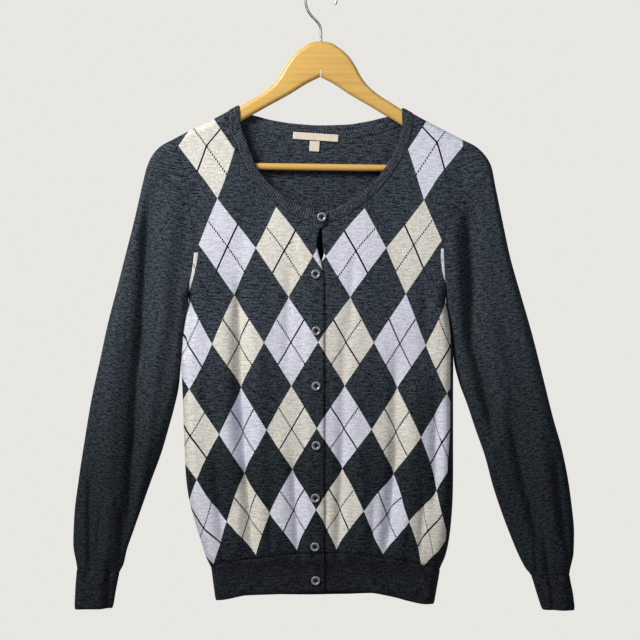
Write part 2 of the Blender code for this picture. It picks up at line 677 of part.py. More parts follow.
def hem_rib(name, start, end, back, upper):
    """Ribbed band below a panel between two columns, each given by its top and bottom place."""
    shares = back_shares(len(back_top_row())) if back else FRONT_SHARES
    points = []
    normals = []
    for down in HEM_ROWS:
        line = []
        line_normals = []
        for c, t in enumerate(shares):
            top_x = start[0] + (end[0] - start[0]) * t
            bottom_x = start[1] + (end[1] - start[1]) * t
            x = top_x + (bottom_x - top_x) * down
            z_top = along(HEM_SEAM, 1, top_x) - GAP / 2
            z_bottom = along(HEM_EDGE, 1, bottom_x) - (along(BACK_DROPS, 1, bottom_x) if back else 0.0)
            z = z_top + (z_bottom - z_top) * down
            if c == len(shares) - 1 or (back and c == 0):
                x = side_line(-1 if x < 0 else 1, z)
            point = body_point(x, z, back)
            normal = body_normal(point, back)
            if upper:
                point = point + normal * lifted(x, z)
            line.append(point)
            line_normals.append(normal)
        points.append(line)
        normals.append(line_normals)
    return wall(name, points, normals, CLOTH)


# ---------------------------------------------------------------- sleeves

def ring_share(i, count, position):
    """Share of the way from the sleeve's inner line to its outer one, for place i round the ring."""
    step = min(i % count, count - i % count)
    even = (1 - math.cos(math.pi * step / (count // 2))) / 2
    if position == 0.0:
        return 1 - ARM_SHARES[ARM_ROWS - step]
    return even + (1 - ARM_SHARES[ARM_ROWS - step] - even) * (1 - ease(position, 0.0, SHARE_FADE))


def armhole_ring(side, count):
    """The sleeve's edge at the armhole: its points and normals, underarm first, up the front."""
    points = []
    normals = []
    half = count // 2
    for i in range(count):
        front = i <= half
        share = 1 - ring_share(i, count, 0.0)
        x, z = armhole_point(side, share)
        point = body_point(x, z, not front)
        if share < 1e-6:
            point = Vector((x, 0.0, z))
        normal = body_normal(point, not front)
        low = share > 0.5
        if i == 0:
            normal = Vector((side, 0.0, 0.0))
        if i == half:
            normal = body_normal(body_point(x, z, False), False)
            normal.y = 0.0
            normal.normalize()
        turn = abs(normal.x) if low else 0.0
        if low:
            normal = Vector((-normal.x, normal.y, normal.z)).normalized()
        points.append(point + Vector((side * (GAP / 2 + 0.05 + SLEEVE_STEP * turn), 0.0, 0.0)))
        normals.append(normal)
    return points, normals


def sleeve_section(table, position, i, count, side):
    """Inner face of the sleeve at a fractional section and place i round it, 0 at the inner line."""
    x_in, z_in, x_out, z_out, front, back, middle = row_at(table, position)
    direction = Vector((x_out - x_in, 0.0, z_out - z_in))
    width = direction.length - 2 * CLOTH
    direction.normalize()
    share = ring_share(i, count, position)
    base = Vector((x_in, 0.0, z_in)) + direction * (CLOTH + width * share)
    to_front = (i % count) < count // 2
    rows = min(position, TURN_ROWS)
    turn_out = OUTER_TURN[0] + OUTER_TURN[1] * rows
    turn_in = INNER_TURN[0] + INNER_TURN[1] * rows
    outer = max(0.0, 1 - width * (1 - share) / turn_out)
    inner = max(0.0, 1 - width * share / turn_in)
    reach = math.sqrt(max(0.0, 1 - outer * outer - inner * inner))
    depth = (front if to_front else back) - CLOTH
    if to_front:
        depth += fold_height(SLEEVE_FOLDS if side < 0 else SLEEVE_FOLDS_LEFT, base.x, base.z)
    y = middle - depth * reach if to_front else middle + depth * reach
    return Vector((base.x, y, base.z))


def sleeve_form(side, count):
    """Function of section and ring place; the first ring is the armhole seam itself."""
    table = SLEEVE_RIGHT if side < 0 else SLEEVE_LEFT
    ring, ring_normals = armhole_ring(side, count)
    base = [sleeve_section(table, 0.0, i, count, side) for i in range(count)]
    reach = 5.0

    def form(position, i):
        index = i % count
        fade = max(0.0, 1.0 - position / reach) ** 2
        return sleeve_section(table, position, index, count, side) + (ring[index] - base[index]) * fade

    return form, ring_normals


def ring_centre(form, position, count):
    total = Vector((0.0, 0.0, 0.0))
    for i in range(count):
        total += form(position, i)
    return total / count


def sleeve_and_cuff(side):
    count = 2 * ARM_ROWS
    form, ring_normals = sleeve_form(side, count)
    table = SLEEVE_RIGHT if side < 0 else SLEEVE_LEFT
    word = "right" if side < 0 else "left"
    last = len(table) - 1
    trim = 0.008
    spans = (("sleeve_", 0.0, CUFF_ROW - trim, SLEEVE_RINGS), ("cuff_", CUFF_ROW + trim, last, CUFF_RINGS))
    for name, start, end, rings in spans:
        points = []
        normals = []
        for r in range(rings):
            position = start + (end - start) * r / (rings - 1)
            points.append([form(position, i) for i in range(count)])
            normals.append(form_normals(form, position, count))
        if start == 0.0:
            normals[0] = ring_normals
        wall(name + word, points, normals, CLOTH, closed=True)


def form_normals(form, position, count):
    centre = ring_centre(form, position, count)
    line = []
    for i in range(count):
        along_ring = form(position, i + 1) - form(position, i - 1)
        along_arm = form(position + 0.1, i) - form(max(position - 0.1, 0.0), i)
        normal = along_ring.cross(along_arm).normalized()
        if normal.dot(form(position, i) - centre) < 0:
            normal = -normal
        line.append(normal)
    return line


# ---------------------------------------------------------------- small pieces

def face_place(x, z, distance):
    """A point off the outer face of the upper front, and the direction it faces."""
    point = body_point(x, z, False)
    normal = body_normal(point, False)
    return point + normal * (lifted(x, z) + CLOTH + distance), normal


def bow(x, z):
    """How far the cloth bows out under a button's rim."""
    centre, normal = face_place(x, z, 0.0)
    highest = 0.0
    for k in range(8):
        angle = math.radians(45.0 * k)
        across = BUTTON_RADIUS * math.cos(angle)
        rim = face_place(x + across, z + BUTTON_RADIUS * math.sin(angle), 0.0)[0]
        highest = max(highest, (rim - centre).dot(normal))
    return highest


def button(number, x, z):
    """A turned button with a raised rim and a sunken centre."""
    segments = 16
    extra = RIB + RIB_RELIEF - CLOTH if number == 1 else 0.0
    seat, normal = face_place(x, z, GAP + extra + bow(x, z))
    turn = Vector((0.0, 0.0, 1.0)).rotation_difference(normal).to_matrix()
    vertices = []
    faces = []
    rings = [row for row in BUTTON_PROFILE if row[0] > 0]
    for share, height in rings:
        for k in range(segments):
            angle = 2 * math.pi * k / segments
            radius = BUTTON_RADIUS * share
            local = Vector((radius * math.cos(angle), radius * math.sin(angle), height))
            vertices.append(seat + turn @ local)
    for r in range(len(rings) - 1):
        for k in range(segments):
            a = r * segments + k
            b = r * segments + (k + 1) % segments
            faces.append((a, b, b + segments, a + segments))
    faces.append(tuple(range(segments)))
    faces.append(tuple(range((len(rings) - 1) * segments, len(rings) * segments))[::-1])
    return mesh_object("button_%d" % number, vertices, faces)


def label_piece(name, place_at, size, columns):
    """A flat strip that follows the inside of the back."""
    points = []
    normals = []
    for down in (0.5 * size[1], -0.5 * size[1]):
        line = []
        line_normals = []
        for c in range(columns + 1):
            across = (c / columns - 0.5) * size[0]
            x = place_at[0] + across * math.cos(LABEL_TILT) - down * math.sin(LABEL_TILT)
            z = place_at[1] + across * math.sin(LABEL_TILT) + down * math.cos(LABEL_TILT)
            point = body_point(x, z, True)
            inward = -body_normal(point, True)
            line.append(point + inward * LABEL_GAP)
            line_normals.append(inward)
        points.append(line)
        normals.append(line_normals)
    return wall(name, points, normals, LABEL_WALL)


# ---------------------------------------------------------------- hanger

def tilt(item):
    """Turn a piece of the hanger about the crown, as it hangs a little lower on the left."""
    pivot = Vector((0.0, 0.0, CROWN_TOP * MM))
    turn = Matrix.Rotation(HANGER_TILT, 4, "Y")
    item.matrix_world = Matrix.Translation(pivot) @ turn @ Matrix.Translation(-pivot) @ item.matrix_world
    return item


def as_mesh(item, name):
    """A curve made into a welded mesh object of its own."""
    graph = bpy.context.evaluated_depsgraph_get()
    mesh = bpy.data.meshes.new_from_object(item.evaluated_get(graph))
    body = bmesh.new()
    body.from_mesh(mesh)
    bmesh.ops.remove_doubles(body, verts=body.verts, dist=0.00001)
    bmesh.ops.recalc_face_normals(body, faces=body.faces)
    body.to_mesh(mesh)
    body.free()
    result = bpy.data.objects.new(name, mesh)
    result.matrix_world = item.matrix_world.copy()
    bpy.data.objects.remove(item)
    return place(result)


def cylinder(name, radius, length, centre, axis, vertices):
    turn = Vector((0.0, 0.0, 1.0)).rotation_difference(Vector(axis)).to_matrix().to_4x4()
    body = bmesh.new()
    bmesh.ops.create_cone(body, cap_ends=True, segments=vertices, radius1=radius * MM, radius2=radius * MM,
                          depth=length * MM, matrix=Matrix.Translation(Vector(centre) * MM) @ turn)
    mesh = bpy.data.meshes.new(name)
    body.to_mesh(mesh)
    body.free()
    return bpy.data.objects.new(name, mesh)


def block(name, size, centre):
    body = bmesh.new()
    scale = Matrix.Diagonal((size[0] * MM, size[1] * MM, size[2] * MM, 1.0))
    bmesh.ops.create_cube(body, size=1.0, matrix=Matrix.Translation(Vector(centre) * MM) @ scale)
    mesh = bpy.data.meshes.new(name)
    body.to_mesh(mesh)
    body.free()
    return bpy.data.objects.new(name, mesh)


def cut(item, cutter):
    cutters.objects.link(cutter)
    cutter.hide_render = True
    cutter.display_type = "WIRE"
    modifier = item.modifiers.new(cutter.name, "BOOLEAN")
    modifier.operation = "DIFFERENCE"
    modifier.object = cutter


def hanger_body():
    """Wooden shoulders: a flat outline with fully rounded edges."""
    half = [Vector((x, 0.0, z)) for x, z in HANGER_OUTLINE]
    loop = half[:-1] + [Vector((-p.x, 0.0, p.z)) for p in half[:0:-1]]
    curve = bpy.data.curves.new("hanger_body", "CURVE")
    curve.dimensions = "2D"
    curve.fill_mode = "BOTH"
    rounding = WOOD / 2 - EDGE_FLAT
    curve.bevel_depth = rounding * MM
    curve.extrude = EDGE_FLAT * MM
    curve.offset = -rounding * MM
    curve.bevel_resolution = 2
    spline = curve.splines.new("POLY")
    spline.points.add(len(loop) - 1)
    for point, place_at in zip(spline.points, loop):
        point.co = (place_at.x * MM, place_at.z * MM, 0.0, 1.0)
    spline.use_cyclic_u = True
    item = bpy.data.objects.new("hanger_outline", curve)
    item.matrix_world = Matrix.Rotation(math.radians(90), 4, "X")
    parts.objects.link(item)
    bpy.context.view_layer.update()
    body = as_mesh(item, "hanger_body")
    cut(body, cylinder("hook_bore", WIRE_RADIUS + GAP, BORE_LENGTH, (0.0, 0.0, CROWN_TOP), (0, 0, 1), 12))
    cut(body, tilt(block("centre_slot", SLOT_SIZE, (0.0, 0.0, SLOT_HEIGHT))))
    length = 2 * (BAR_HALF + GAP)
    cut(body, tilt(cylinder("bar_sockets", BAR_RADIUS + GAP, length, (0.0, 0.0, BAR_HEIGHT), (1, 0, 0), 16)))
    return tilt(body)


def hanger_bar():
    bar = place(cylinder("hanger_bar", BAR_RADIUS, 2 * BAR_HALF, (0.0, 0.0, BAR_HEIGHT), (1, 0, 0), 16))
    return tilt(bar)


def hanger_hook():
    """A wire from the bore up, bent aside and over in an arc whose inside top is the origin."""
    route = list(HOOK_STEM)
    steps = 22
    for k in range(steps + 1):
        angle = math.radians(180.0 - HOOK_SWEEP * k / steps)
        height = WIRE_RADIUS - HOOK_RADIUS + HOOK_RADIUS * math.sin(angle)
        route.append((HOOK_RADIUS * math.cos(angle), height))
    curve = bpy.data.curves.new("hanger_hook", "CURVE")
    curve.dimensions = "3D"
    curve.bevel_depth = WIRE_RADIUS * MM
    curve.bevel_resolution = 2
    curve.use_fill_caps = True
    spline = curve.splines.new("POLY")
    spline.points.add(len(route) - 1)
    for point, (x, z) in zip(spline.points, route):
        point.co = (x * MM, 0.0, z * MM, 1.0)
    return place(bpy.data.objects.new("hanger_hook", curve))


# ---------------------------------------------------------------- materials

def material(name, color, roughness, metallic=0.0):
    result = bpy.data.materials.new(name)
    result.use_nodes = True
    shader = result.node_tree.nodes["Principled BSDF"]
    shader.inputs["Base Color"].default_value = (*color, 1.0)
    shader.inputs["Roughness"].default_value = roughness
    shader.inputs["Metallic"].default_value = metallic
    result.diffuse_color = (*color, 1.0)
    return result


def material_key(name):
    if name == "hanger_hook":
        return "metal"
    if name.startswith("hanger"):
        return "wood"
    if name.startswith("button"):
        return "button"
    if name in ("label", "size_tab"):
        return "label"
    return "knit"


def finish_materials():
    roughness = {"knit": 0.95, "wood": 0.5, "metal": 0.3, "button": 0.35, "label": 0.8}
    for item in parts.objects:
        key = material_key(item.name)
        metallic = 1.0 if key == "metal" else 0.0
        item.data.materials.clear()
        item.data.materials.append(material(item.name, COLORS[key], roughness[key], metallic))


# ---------------------------------------------------------------- the part

def build():
    hanger_body()
    hanger_bar()
    hanger_hook()
    front_panel(-1)
    front_panel(1)
    back_panel()
    for side in (-1, 1):
        sleeve_and_cuff(side)
    neckband()
    right = [side_line(-1, z) for z in SIDE_HEM]
    left = [side_line(1, z) for z in SIDE_HEM]
    upper_end = [x for z, x in UPPER_EDGE[-2:]]
    lower_end = [x for z, x in LOWER_EDGE[-2:]]
    hem_rib("hem_rib_right", upper_end, right, False, True)
    hem_rib("hem_rib_left", lower_end, left, False, False)
    hem_rib("hem_rib_back", right, left, True, False)
    for number, (x, z) in enumerate(BUTTONS, start=1):
        button(number, x, z)
    label_piece("label", LABEL_PLACE, LABEL_SIZE, 6)
    label_piece("size_tab", TAB_PLACE, TAB_SIZE, 2)
    finish_materials()


for leftover in list(bpy.data.objects):
    bpy.data.objects.remove(leftover)
parts = bpy.data.collections.new("wool_cardigan_on_hanger")
bpy.context.scene.collection.children.link(parts)
cutters = bpy.data.collections.new("cutters")
bpy.context.scene.collection.children.link(cutters)
build()
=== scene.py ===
# %% [markdown]
# # A wool cardigan on a wooden hanger
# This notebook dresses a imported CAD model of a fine-gauge argyle cardigan. The CAD part gives the size and
# the collision shape. Here each knitted piece is made again as a finer cloth wall with its folds, its ribs
# and its yarn, and the hanger gets its wood and its wire.
# All tables are in millimetres. +Z is up, -Y faces the viewer, and the origin is the hook's inside top.

# %% Load the frame
import json
import math

import bmesh
import bpy
import numpy as np
from mathutils import Matrix, Vector

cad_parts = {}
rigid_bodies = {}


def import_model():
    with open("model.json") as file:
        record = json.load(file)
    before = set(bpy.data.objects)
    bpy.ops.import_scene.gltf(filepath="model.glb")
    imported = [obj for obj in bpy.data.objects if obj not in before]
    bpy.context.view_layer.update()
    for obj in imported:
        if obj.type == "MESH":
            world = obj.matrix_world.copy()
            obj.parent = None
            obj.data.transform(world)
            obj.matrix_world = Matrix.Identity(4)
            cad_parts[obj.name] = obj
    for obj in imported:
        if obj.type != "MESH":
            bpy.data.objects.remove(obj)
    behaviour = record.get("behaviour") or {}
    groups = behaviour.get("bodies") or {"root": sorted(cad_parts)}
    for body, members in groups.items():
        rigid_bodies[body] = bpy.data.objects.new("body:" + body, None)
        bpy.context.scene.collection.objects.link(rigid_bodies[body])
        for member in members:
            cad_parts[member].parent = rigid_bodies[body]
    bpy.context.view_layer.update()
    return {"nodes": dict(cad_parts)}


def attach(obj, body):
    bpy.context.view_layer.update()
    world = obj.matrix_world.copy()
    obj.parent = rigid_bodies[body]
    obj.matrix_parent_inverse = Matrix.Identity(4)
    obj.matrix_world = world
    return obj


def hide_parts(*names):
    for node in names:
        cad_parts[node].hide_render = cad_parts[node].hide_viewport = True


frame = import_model()
MM = 0.001
print("frame loaded:", len(frame["nodes"]), "nodes")

# %% [markdown]
# ## Sizes of the garment
# A hanging cardigan is almost flat, so its form is given as it is seen from the front: where its outlines
# and seams run, and how deep it is at each height. Short tables with a smooth curve between their rows are
# easy to read and to correct. The other way, a cloth simulation, would not keep the measured outline.

# %% Wall, overlap and seam sizes
CLOTH = 1.3
RIB = 1.7
LAYER = 2.5
OVERLAP = 17.0
LIFT_MARGIN = 2.0
LIFT_WIDTH = 10.0
RIDGE_INSET = 1.43
RIDGE_TURN = 7.6
UNDERARM = -398.0
UNDERARM_TURN = 36.0
print("cloth:", CLOTH, "mm, rib:", RIB, "mm, lap of the fronts:", OVERLAP, "mm")

# %% [markdown]
# ## Shoulders, body and armholes
# The shoulder line follows the hanger. Below it each row gives the two sides and the depth to the front and
# the back at one height, so the body is a flattened tube that hangs fuller at the waist.

# %% Body tables
SHOULDER_LINE = (  # x, z
    (-200.0, -203.0), (-185.0, -194.6), (-166.0, -184.5), (-135.0, -169.5), (-102.0, -151.5),
    (-60.0, -129.0), (0.0, -100.0), (60.0, -132.0), (101.5, -154.8), (129.0, -170.0),
    (150.0, -181.0), (177.0, -195.0), (200.0, -208.0))
BODY_SECTIONS = (  # z, x_right, x_left, front_depth, back_depth, side_turn
    (-150.0, -166.0, 156.5, 8.0, 8.0, 8.0),
    (-200.0, -166.0, 156.5, 8.5, 8.4, 8.0),
    (-260.0, -166.0, 156.5, 12.5, 9.5, 8.0),
    (-330.0, -166.0, 156.5, 17.0, 11.5, 9.0),
    (-398.0, -166.0, 156.5, 20.5, 13.5, 11.0),
    (-407.0, -167.8, 158.4, 20.9, 13.7, 11.3),
    (-417.0, -170.1, 160.5, 21.2, 13.8, 11.6),
    (-430.0, -172.2, 162.5, 21.6, 14.0, 12.0),
    (-448.0, -174.4, 165.0, 22.0, 14.2, 12.5),
    (-470.0, -175.3, 166.3, 22.5, 14.5, 13.0),
    (-506.0, -173.8, 166.0, 23.0, 15.0, 13.5),
    (-571.0, -171.5, 166.0, 24.0, 15.5, 14.0),
    (-614.0, -169.5, 166.0, 25.0, 16.0, 15.0),
    (-642.0, -166.0, 165.5, 25.5, 16.5, 15.5),
    (-678.0, -156.5, 163.0, 26.0, 17.0, 16.0),
    (-700.0, -149.5, 160.0, 25.5, 16.5, 16.0),
    (-716.0, -144.5, 156.0, 23.5, 15.5, 15.0),
    (-729.0, -138.5, 150.5, 19.5, 13.5, 13.0),
    (-743.0, -134.5, 146.0, 17.5, 12.5, 12.0),
    (-780.0, -131.5, 140.5, 17.0, 12.0, 12.0))
ARMHOLE_RIGHT = (  # z, x
    (-196.0, -185.0), (-207.0, -179.5), (-221.0, -174.5), (-249.5, -168.5), (-278.0, -164.0),
    (-308.0, -160.0), (-333.0, -158.0), (-351.0, -159.5), (-368.0, -162.0), (-386.0, -164.5),
    (-398.0, -165.5))
ARMHOLE_LEFT = (
    (-196.0, 177.0), (-211.0, 178.0), (-226.0, 175.5), (-243.0, 171.5), (-261.0, 166.5), (-278.0, 161.5),
    (-308.0, 155.5), (-332.0, 153.5), (-348.0, 153.8), (-367.0, 154.8), (-386.0, 155.5), (-398.0, 156.0))
print("body:", len(BODY_SECTIONS), "heights, armholes end at", UNDERARM)

# %% [markdown]
# ## Neck, closure and hem
# The neckband has an inner and an outer line on each side, and two more at the back. The closure has the
# upper front's edge and the lower one's. At the hem the seam and the rib's edge both sag and rise a little,
# as they do on the real one.

# %% Neck, closure and hem tables
NECK_INNER_RIGHT = (  # z, x
    (-157.0, -102.0), (-174.0, -100.5), (-199.5, -92.0), (-222.0, -84.0), (-240.0, -73.5), (-260.5, -52.5),
    (-278.5, -25.5), (-285.0, -8.5), (-288.0, 8.5))
NECK_OUTER_RIGHT = (
    (-163.5, -116.0), (-179.0, -114.5), (-205.0, -104.5), (-229.5, -94.5), (-250.0, -81.0), (-272.5, -58.5),
    (-292.0, -30.0), (-300.0, -10.0), (-302.5, 6.0))
NECK_INNER_LEFT = (
    (-158.0, 101.5), (-174.0, 101.7), (-194.0, 98.0), (-220.0, 86.5), (-240.0, 73.0), (-260.5, 52.0),
    (-278.5, 25.5), (-285.5, 9.5), (-288.0, -2.5))
NECK_OUTER_LEFT = (
    (-164.5, 115.5), (-179.0, 115.0), (-201.0, 110.5), (-227.5, 97.0), (-250.0, 81.0), (-272.5, 58.0),
    (-292.0, 30.0), (-300.0, 11.0), (-302.5, -1.0))
NECK_BACK_INNER = (  # x, z
    (-100.8, -160.5), (-82.5, -164.5), (-61.5, -170.0), (-32.0, -174.5), (0.0, -176.5), (32.0, -175.5),
    (61.5, -171.0), (82.5, -166.0), (100.3, -164.0))
NECK_BACK_OUTER = (
    (-114.8, -169.0), (-90.0, -179.5), (-64.0, -188.0), (-32.0, -192.5), (0.0, -194.0), (32.0, -193.5),
    (64.0, -189.0), (90.0, -181.5), (114.3, -172.0))
UPPER_EDGE = (  # z, x
    (-302.0, 6.0), (-306.0, 0.5), (-315.5, -3.5), (-326.0, -5.0), (-336.0, -3.5), (-352.0, 1.0),
    (-374.0, 4.0), (-721.0, 4.0), (-758.0, 4.5))
LOWER_EDGE = (
    (-302.0, -1.0), (-306.0, 0.5), (-315.5, 1.8), (-326.0, 2.2), (-338.0, 3.5), (-348.0, 0.5),
    (-372.0, -14.5), (-721.0, -14.5), (-758.0, -13.0))
HEM_SEAM = (  # x, z
    (-175.0, -735.0), (-138.0, -729.5), (-121.0, -722.5), (-101.0, -720.0), (-70.0, -716.0), (-38.5, -712.5),
    (-7.5, -711.0), (20.0, -711.0), (49.0, -713.0), (80.0, -717.0), (111.5, -722.0), (149.5, -732.0),
    (175.0, -740.0))
HEM_EDGE = (
    (-175.0, -775.0), (-128.0, -770.5), (-115.5, -768.5), (-92.5, -764.0), (-52.5, -762.5), (0.0, -759.5),
    (27.5, -759.0), (59.0, -760.5), (92.5, -766.5), (109.0, -771.0), (130.0, -775.0), (175.0, -776.0))
SIDE_HEM = (-731.0, -770.0)
BACK_DROPS = (  # x, how much lower the back's rib ends
    (-140.0, 1.0), (-95.0, 1.0), (-54.0, 2.8), (0.0, 6.0), (27.0, 6.0), (59.0, 3.5), (85.0, 1.0),
    (140.0, 1.0))
print("closure:", len(UPPER_EDGE), "points, hem:", len(HEM_EDGE), "points")

# %% [markdown]
# ## Sizes of the sleeves and buttons
# A knitted sleeve is a tube that hangs flat. One row describes one section across it, with its inner and
# outer line as seen from the front, and its depths. A bent cylinder would be quicker, but a sleeve narrows
# unevenly, so eighteen sections carry it from the armhole to the cuff's edge.

# %% Sleeve and button sizes
SLEEVE_RIGHT = (  # x_inner, z_inner, x_outer, z_outer, front, back, middle
    (-165.5, -398.0, -185.0, -196.0, 8.0, 8.0, 0.0),
    (-165.8, -407.0, -199.0, -203.0, 11.0, 10.0, 0.5),
    (-168.9, -417.0, -209.5, -213.5, 13.0, 11.5, 0.5),
    (-171.8, -430.0, -216.5, -227.5, 14.0, 12.5, 0.5),
    (-174.4, -448.0, -222.5, -250.5, 15.0, 13.5, 0.5),
    (-175.9, -472.0, -233.0, -296.0, 16.0, 14.5, 0.5),
    (-178.8, -505.0, -243.0, -335.0, 16.0, 15.0, 0.5),
    (-184.3, -531.0, -254.5, -380.0, 16.0, 15.0, 0.5),
    (-191.6, -558.0, -266.0, -424.0, 16.0, 15.0, 0.5),
    (-200.0, -587.0, -276.0, -470.0, 16.0, 15.0, 0.5),
    (-212.5, -621.0, -286.5, -518.0, 15.5, 14.5, 0.5),
    (-224.5, -655.0, -295.0, -568.0, 15.0, 14.0, 0.5),
    (-235.0, -685.0, -303.0, -620.0, 15.0, 14.0, 0.5),
    (-243.5, -710.0, -308.5, -664.0, 15.0, 14.0, 0.5),
    (-247.0, -726.0, -310.0, -700.0, 14.5, 13.5, 0.5),
    (-252.0, -736.5, -305.5, -731.5, 12.5, 11.5, 0.5),
    (-256.0, -754.5, -307.0, -752.0, 12.0, 11.0, 0.5),
    (-260.5, -781.0, -308.5, -783.0, 12.5, 11.0, 0.5))
SLEEVE_LEFT = (
    (156.0, -398.0, 177.0, -196.0, 8.0, 8.0, 0.0),
    (156.7, -407.0, 192.0, -203.0, 11.0, 10.0, 0.5),
    (159.4, -417.0, 204.0, -213.5, 13.0, 11.5, 0.5),
    (162.2, -430.0, 212.5, -228.0, 14.0, 12.5, 0.5),
    (165.2, -448.0, 217.5, -252.0, 15.0, 13.5, 0.5),
    (167.6, -474.0, 227.0, -298.0, 16.0, 14.5, 0.5),
    (174.0, -500.0, 236.5, -342.0, 16.0, 15.0, 0.5),
    (183.5, -526.0, 249.0, -386.0, 16.0, 15.0, 0.5),
    (194.5, -559.0, 263.5, -436.0, 16.0, 15.0, 0.5),
    (206.0, -592.0, 277.0, -489.0, 16.0, 15.0, 0.5),
    (215.5, -628.0, 290.0, -541.0, 15.5, 14.5, 0.5),
    (226.0, -660.0, 302.0, -584.0, 15.0, 14.0, 0.5),
    (238.0, -692.0, 311.5, -634.0, 15.0, 14.0, 0.5),
    (248.5, -717.0, 317.0, -686.0, 15.0, 14.0, 0.5),
    (256.0, -731.0, 316.5, -711.0, 14.5, 13.5, 0.5),
    (263.0, -740.0, 311.5, -739.0, 12.5, 11.5, 0.5),
    (270.0, -761.0, 315.5, -763.0, 12.0, 11.0, 0.5),
    (277.0, -783.0, 318.0, -784.0, 12.5, 11.0, 0.5))
CUFF_ROW = 15
BUTTONS = (  # x, z
    (1.0, -293.0), (-6.5, -364.0), (-6.0, -434.5), (-6.0, -503.0), (-6.0, -577.0), (-7.0, -642.0),
    (-7.5, -702.0), (-6.5, -745.0))
BUTTON_RADIUS = 5.7
print("sleeve tables:", len(SLEEVE_RIGHT), "sections each")

# %% [markdown]
# ## Folds
# Each crease of hanging knitwear is soft. A crease is a line seen from the front, with a half width and a
# height: a ridge is positive and a trough negative. Listed one by one they follow the real garment, and noise
# would not. Their lengths, widths and heights are uneven, as cloth on a hanger never falls alike twice.

# %% Fold tables
FRONT_FOLDS = (  # x_top, z_top, x_bottom, z_bottom, half_width, height
    (-102.0, -380.0, -99.0, -570.0, 8.0, -9.5),
    (-98.0, -545.0, -85.0, -705.0, 7.5, -9.5),
    (-122.0, -420.0, -115.0, -640.0, 11.0, 3.8),
    (-78.0, -430.0, -72.0, -690.0, 12.0, 3.2),
    (-161.0, -385.0, -168.0, -462.0, 5.0, -10.0),
    (-130.0, -600.0, -121.0, -706.0, 7.5, -5.2),
    (-34.0, -600.0, -28.0, -710.0, 5.5, -5.2),
    (-50.0, -560.0, -48.0, -704.0, 9.0, 2.9),
    (-39.0, -360.0, -41.0, -470.0, 7.0, -2.6),
    (30.0, -430.0, 27.0, -560.0, 6.5, -2.9),
    (28.0, -560.0, 22.0, -710.0, 6.5, -5.8),
    (50.0, -580.0, 50.0, -706.0, 9.0, 3.2),
    (94.0, -470.0, 92.0, -600.0, 8.0, -5.2),
    (93.0, -580.0, 82.0, -708.0, 7.5, -9.5),
    (118.0, -480.0, 112.0, -690.0, 11.0, 3.8),
    (144.0, -520.0, 142.0, -650.0, 7.0, -6.1),
    (40.0, -345.0, 37.0, -440.0, 6.0, -2.0),
    (128.0, -360.0, 133.0, -470.0, 8.0, -2.9),
    (-70.0, -250.0, -118.0, -400.0, 26.0, -2.9),
    (72.0, -250.0, 112.0, -400.0, 26.0, -2.9),
    (-64.0, -640.0, -62.0, -708.0, 4.0, -2.3),
    (66.0, -650.0, 64.0, -708.0, 4.0, -2.3),
    (-104.0, -660.0, -101.0, -710.0, 3.5, 2.2),
    (104.0, -660.0, 101.0, -712.0, 3.5, 2.2),
    (5.0, -650.0, 4.0, -706.0, 4.0, -1.7),
    (128.0, -640.0, 124.0, -712.0, 4.5, -2.6))
BACK_FOLDS = (
    (-90.0, -430.0, -88.0, -680.0, 12.0, -5.7),
    (-30.0, -500.0, -26.0, -700.0, 12.0, -4.9),
    (38.0, -480.0, 42.0, -700.0, 12.0, -5.8),
    (102.0, -430.0, 104.0, -690.0, 12.0, -5.7),
    (-62.0, -600.0, -60.0, -704.0, 6.0, 2.3),
    (10.0, -610.0, 12.0, -706.0, 5.5, 2.3),
    (74.0, -590.0, 75.0, -704.0, 6.0, 2.3),
    (-120.0, -560.0, -118.0, -690.0, 6.5, -3.5),
    (128.0, -600.0, 127.0, -700.0, 6.0, 2.2),
    (-110.0, -260.0, -60.0, -420.0, 22.0, -3.2),
    (112.0, -260.0, 66.0, -420.0, 22.0, -2.9))
SLEEVE_FOLDS_RIGHT = (
    (-216.0, -285.0, -226.0, -470.0, 8.0, -12.5),
    (-227.0, -452.0, -243.0, -700.0, 7.5, -11.0),
    (-191.0, -262.0, -196.0, -430.0, 10.0, 6.2),
    (-197.0, -425.0, -222.0, -600.0, 9.0, 5.0),
    (-252.0, -420.0, -268.0, -650.0, 12.0, 5.0),
    (-262.0, -640.0, -268.0, -724.0, 7.0, 4.6),
    (-210.0, -500.0, -236.0, -585.0, 6.0, -3.2),
    (-289.0, -610.0, -289.0, -736.0, 4.5, -6.5),
    (-276.0, -660.0, -279.0, -728.0, 3.5, -2.6),
    (-249.0, -660.0, -252.0, -728.0, 4.0, -5.5),
    (-299.0, -700.0, -287.0, -722.0, 3.0, -3.4),
    (-275.0, -732.0, -277.0, -790.0, 6.0, 3.6),
    (-265.0, -728.0, -267.5, -790.0, 3.8, -5.5),
    (-294.0, -735.0, -294.0, -785.0, 4.5, -2.6))
SLEEVE_FOLDS_LEFT = (
    (188.0, -290.0, 187.0, -445.0, 8.0, -12.5),
    (187.0, -436.0, 216.0, -560.0, 8.0, -10.5),
    (167.0, -262.0, 171.0, -405.0, 10.0, 6.2),
    (205.0, -400.0, 236.0, -560.0, 13.0, 3.8),
    (236.0, -540.0, 268.0, -690.0, 8.5, -8.0),
    (272.0, -560.0, 293.0, -700.0, 8.0, 4.4),
    (292.0, -600.0, 304.0, -700.0, 5.0, -5.5),
    (252.0, -640.0, 268.0, -726.0, 6.0, 3.2),
    (279.0, -690.0, 283.0, -736.0, 3.5, -3.5),
    (300.0, -690.0, 303.0, -734.0, 3.5, 2.6),
    (266.0, -700.0, 270.0, -738.0, 3.0, -3.4),
    (285.0, -734.0, 292.0, -790.0, 4.5, -4.0),
    (301.0, -738.0, 306.0, -790.0, 5.0, 2.4))
print("folds:", len(FRONT_FOLDS) + len(BACK_FOLDS) + len(SLEEVE_FOLDS_RIGHT) + len(SLEEVE_FOLDS_LEFT))

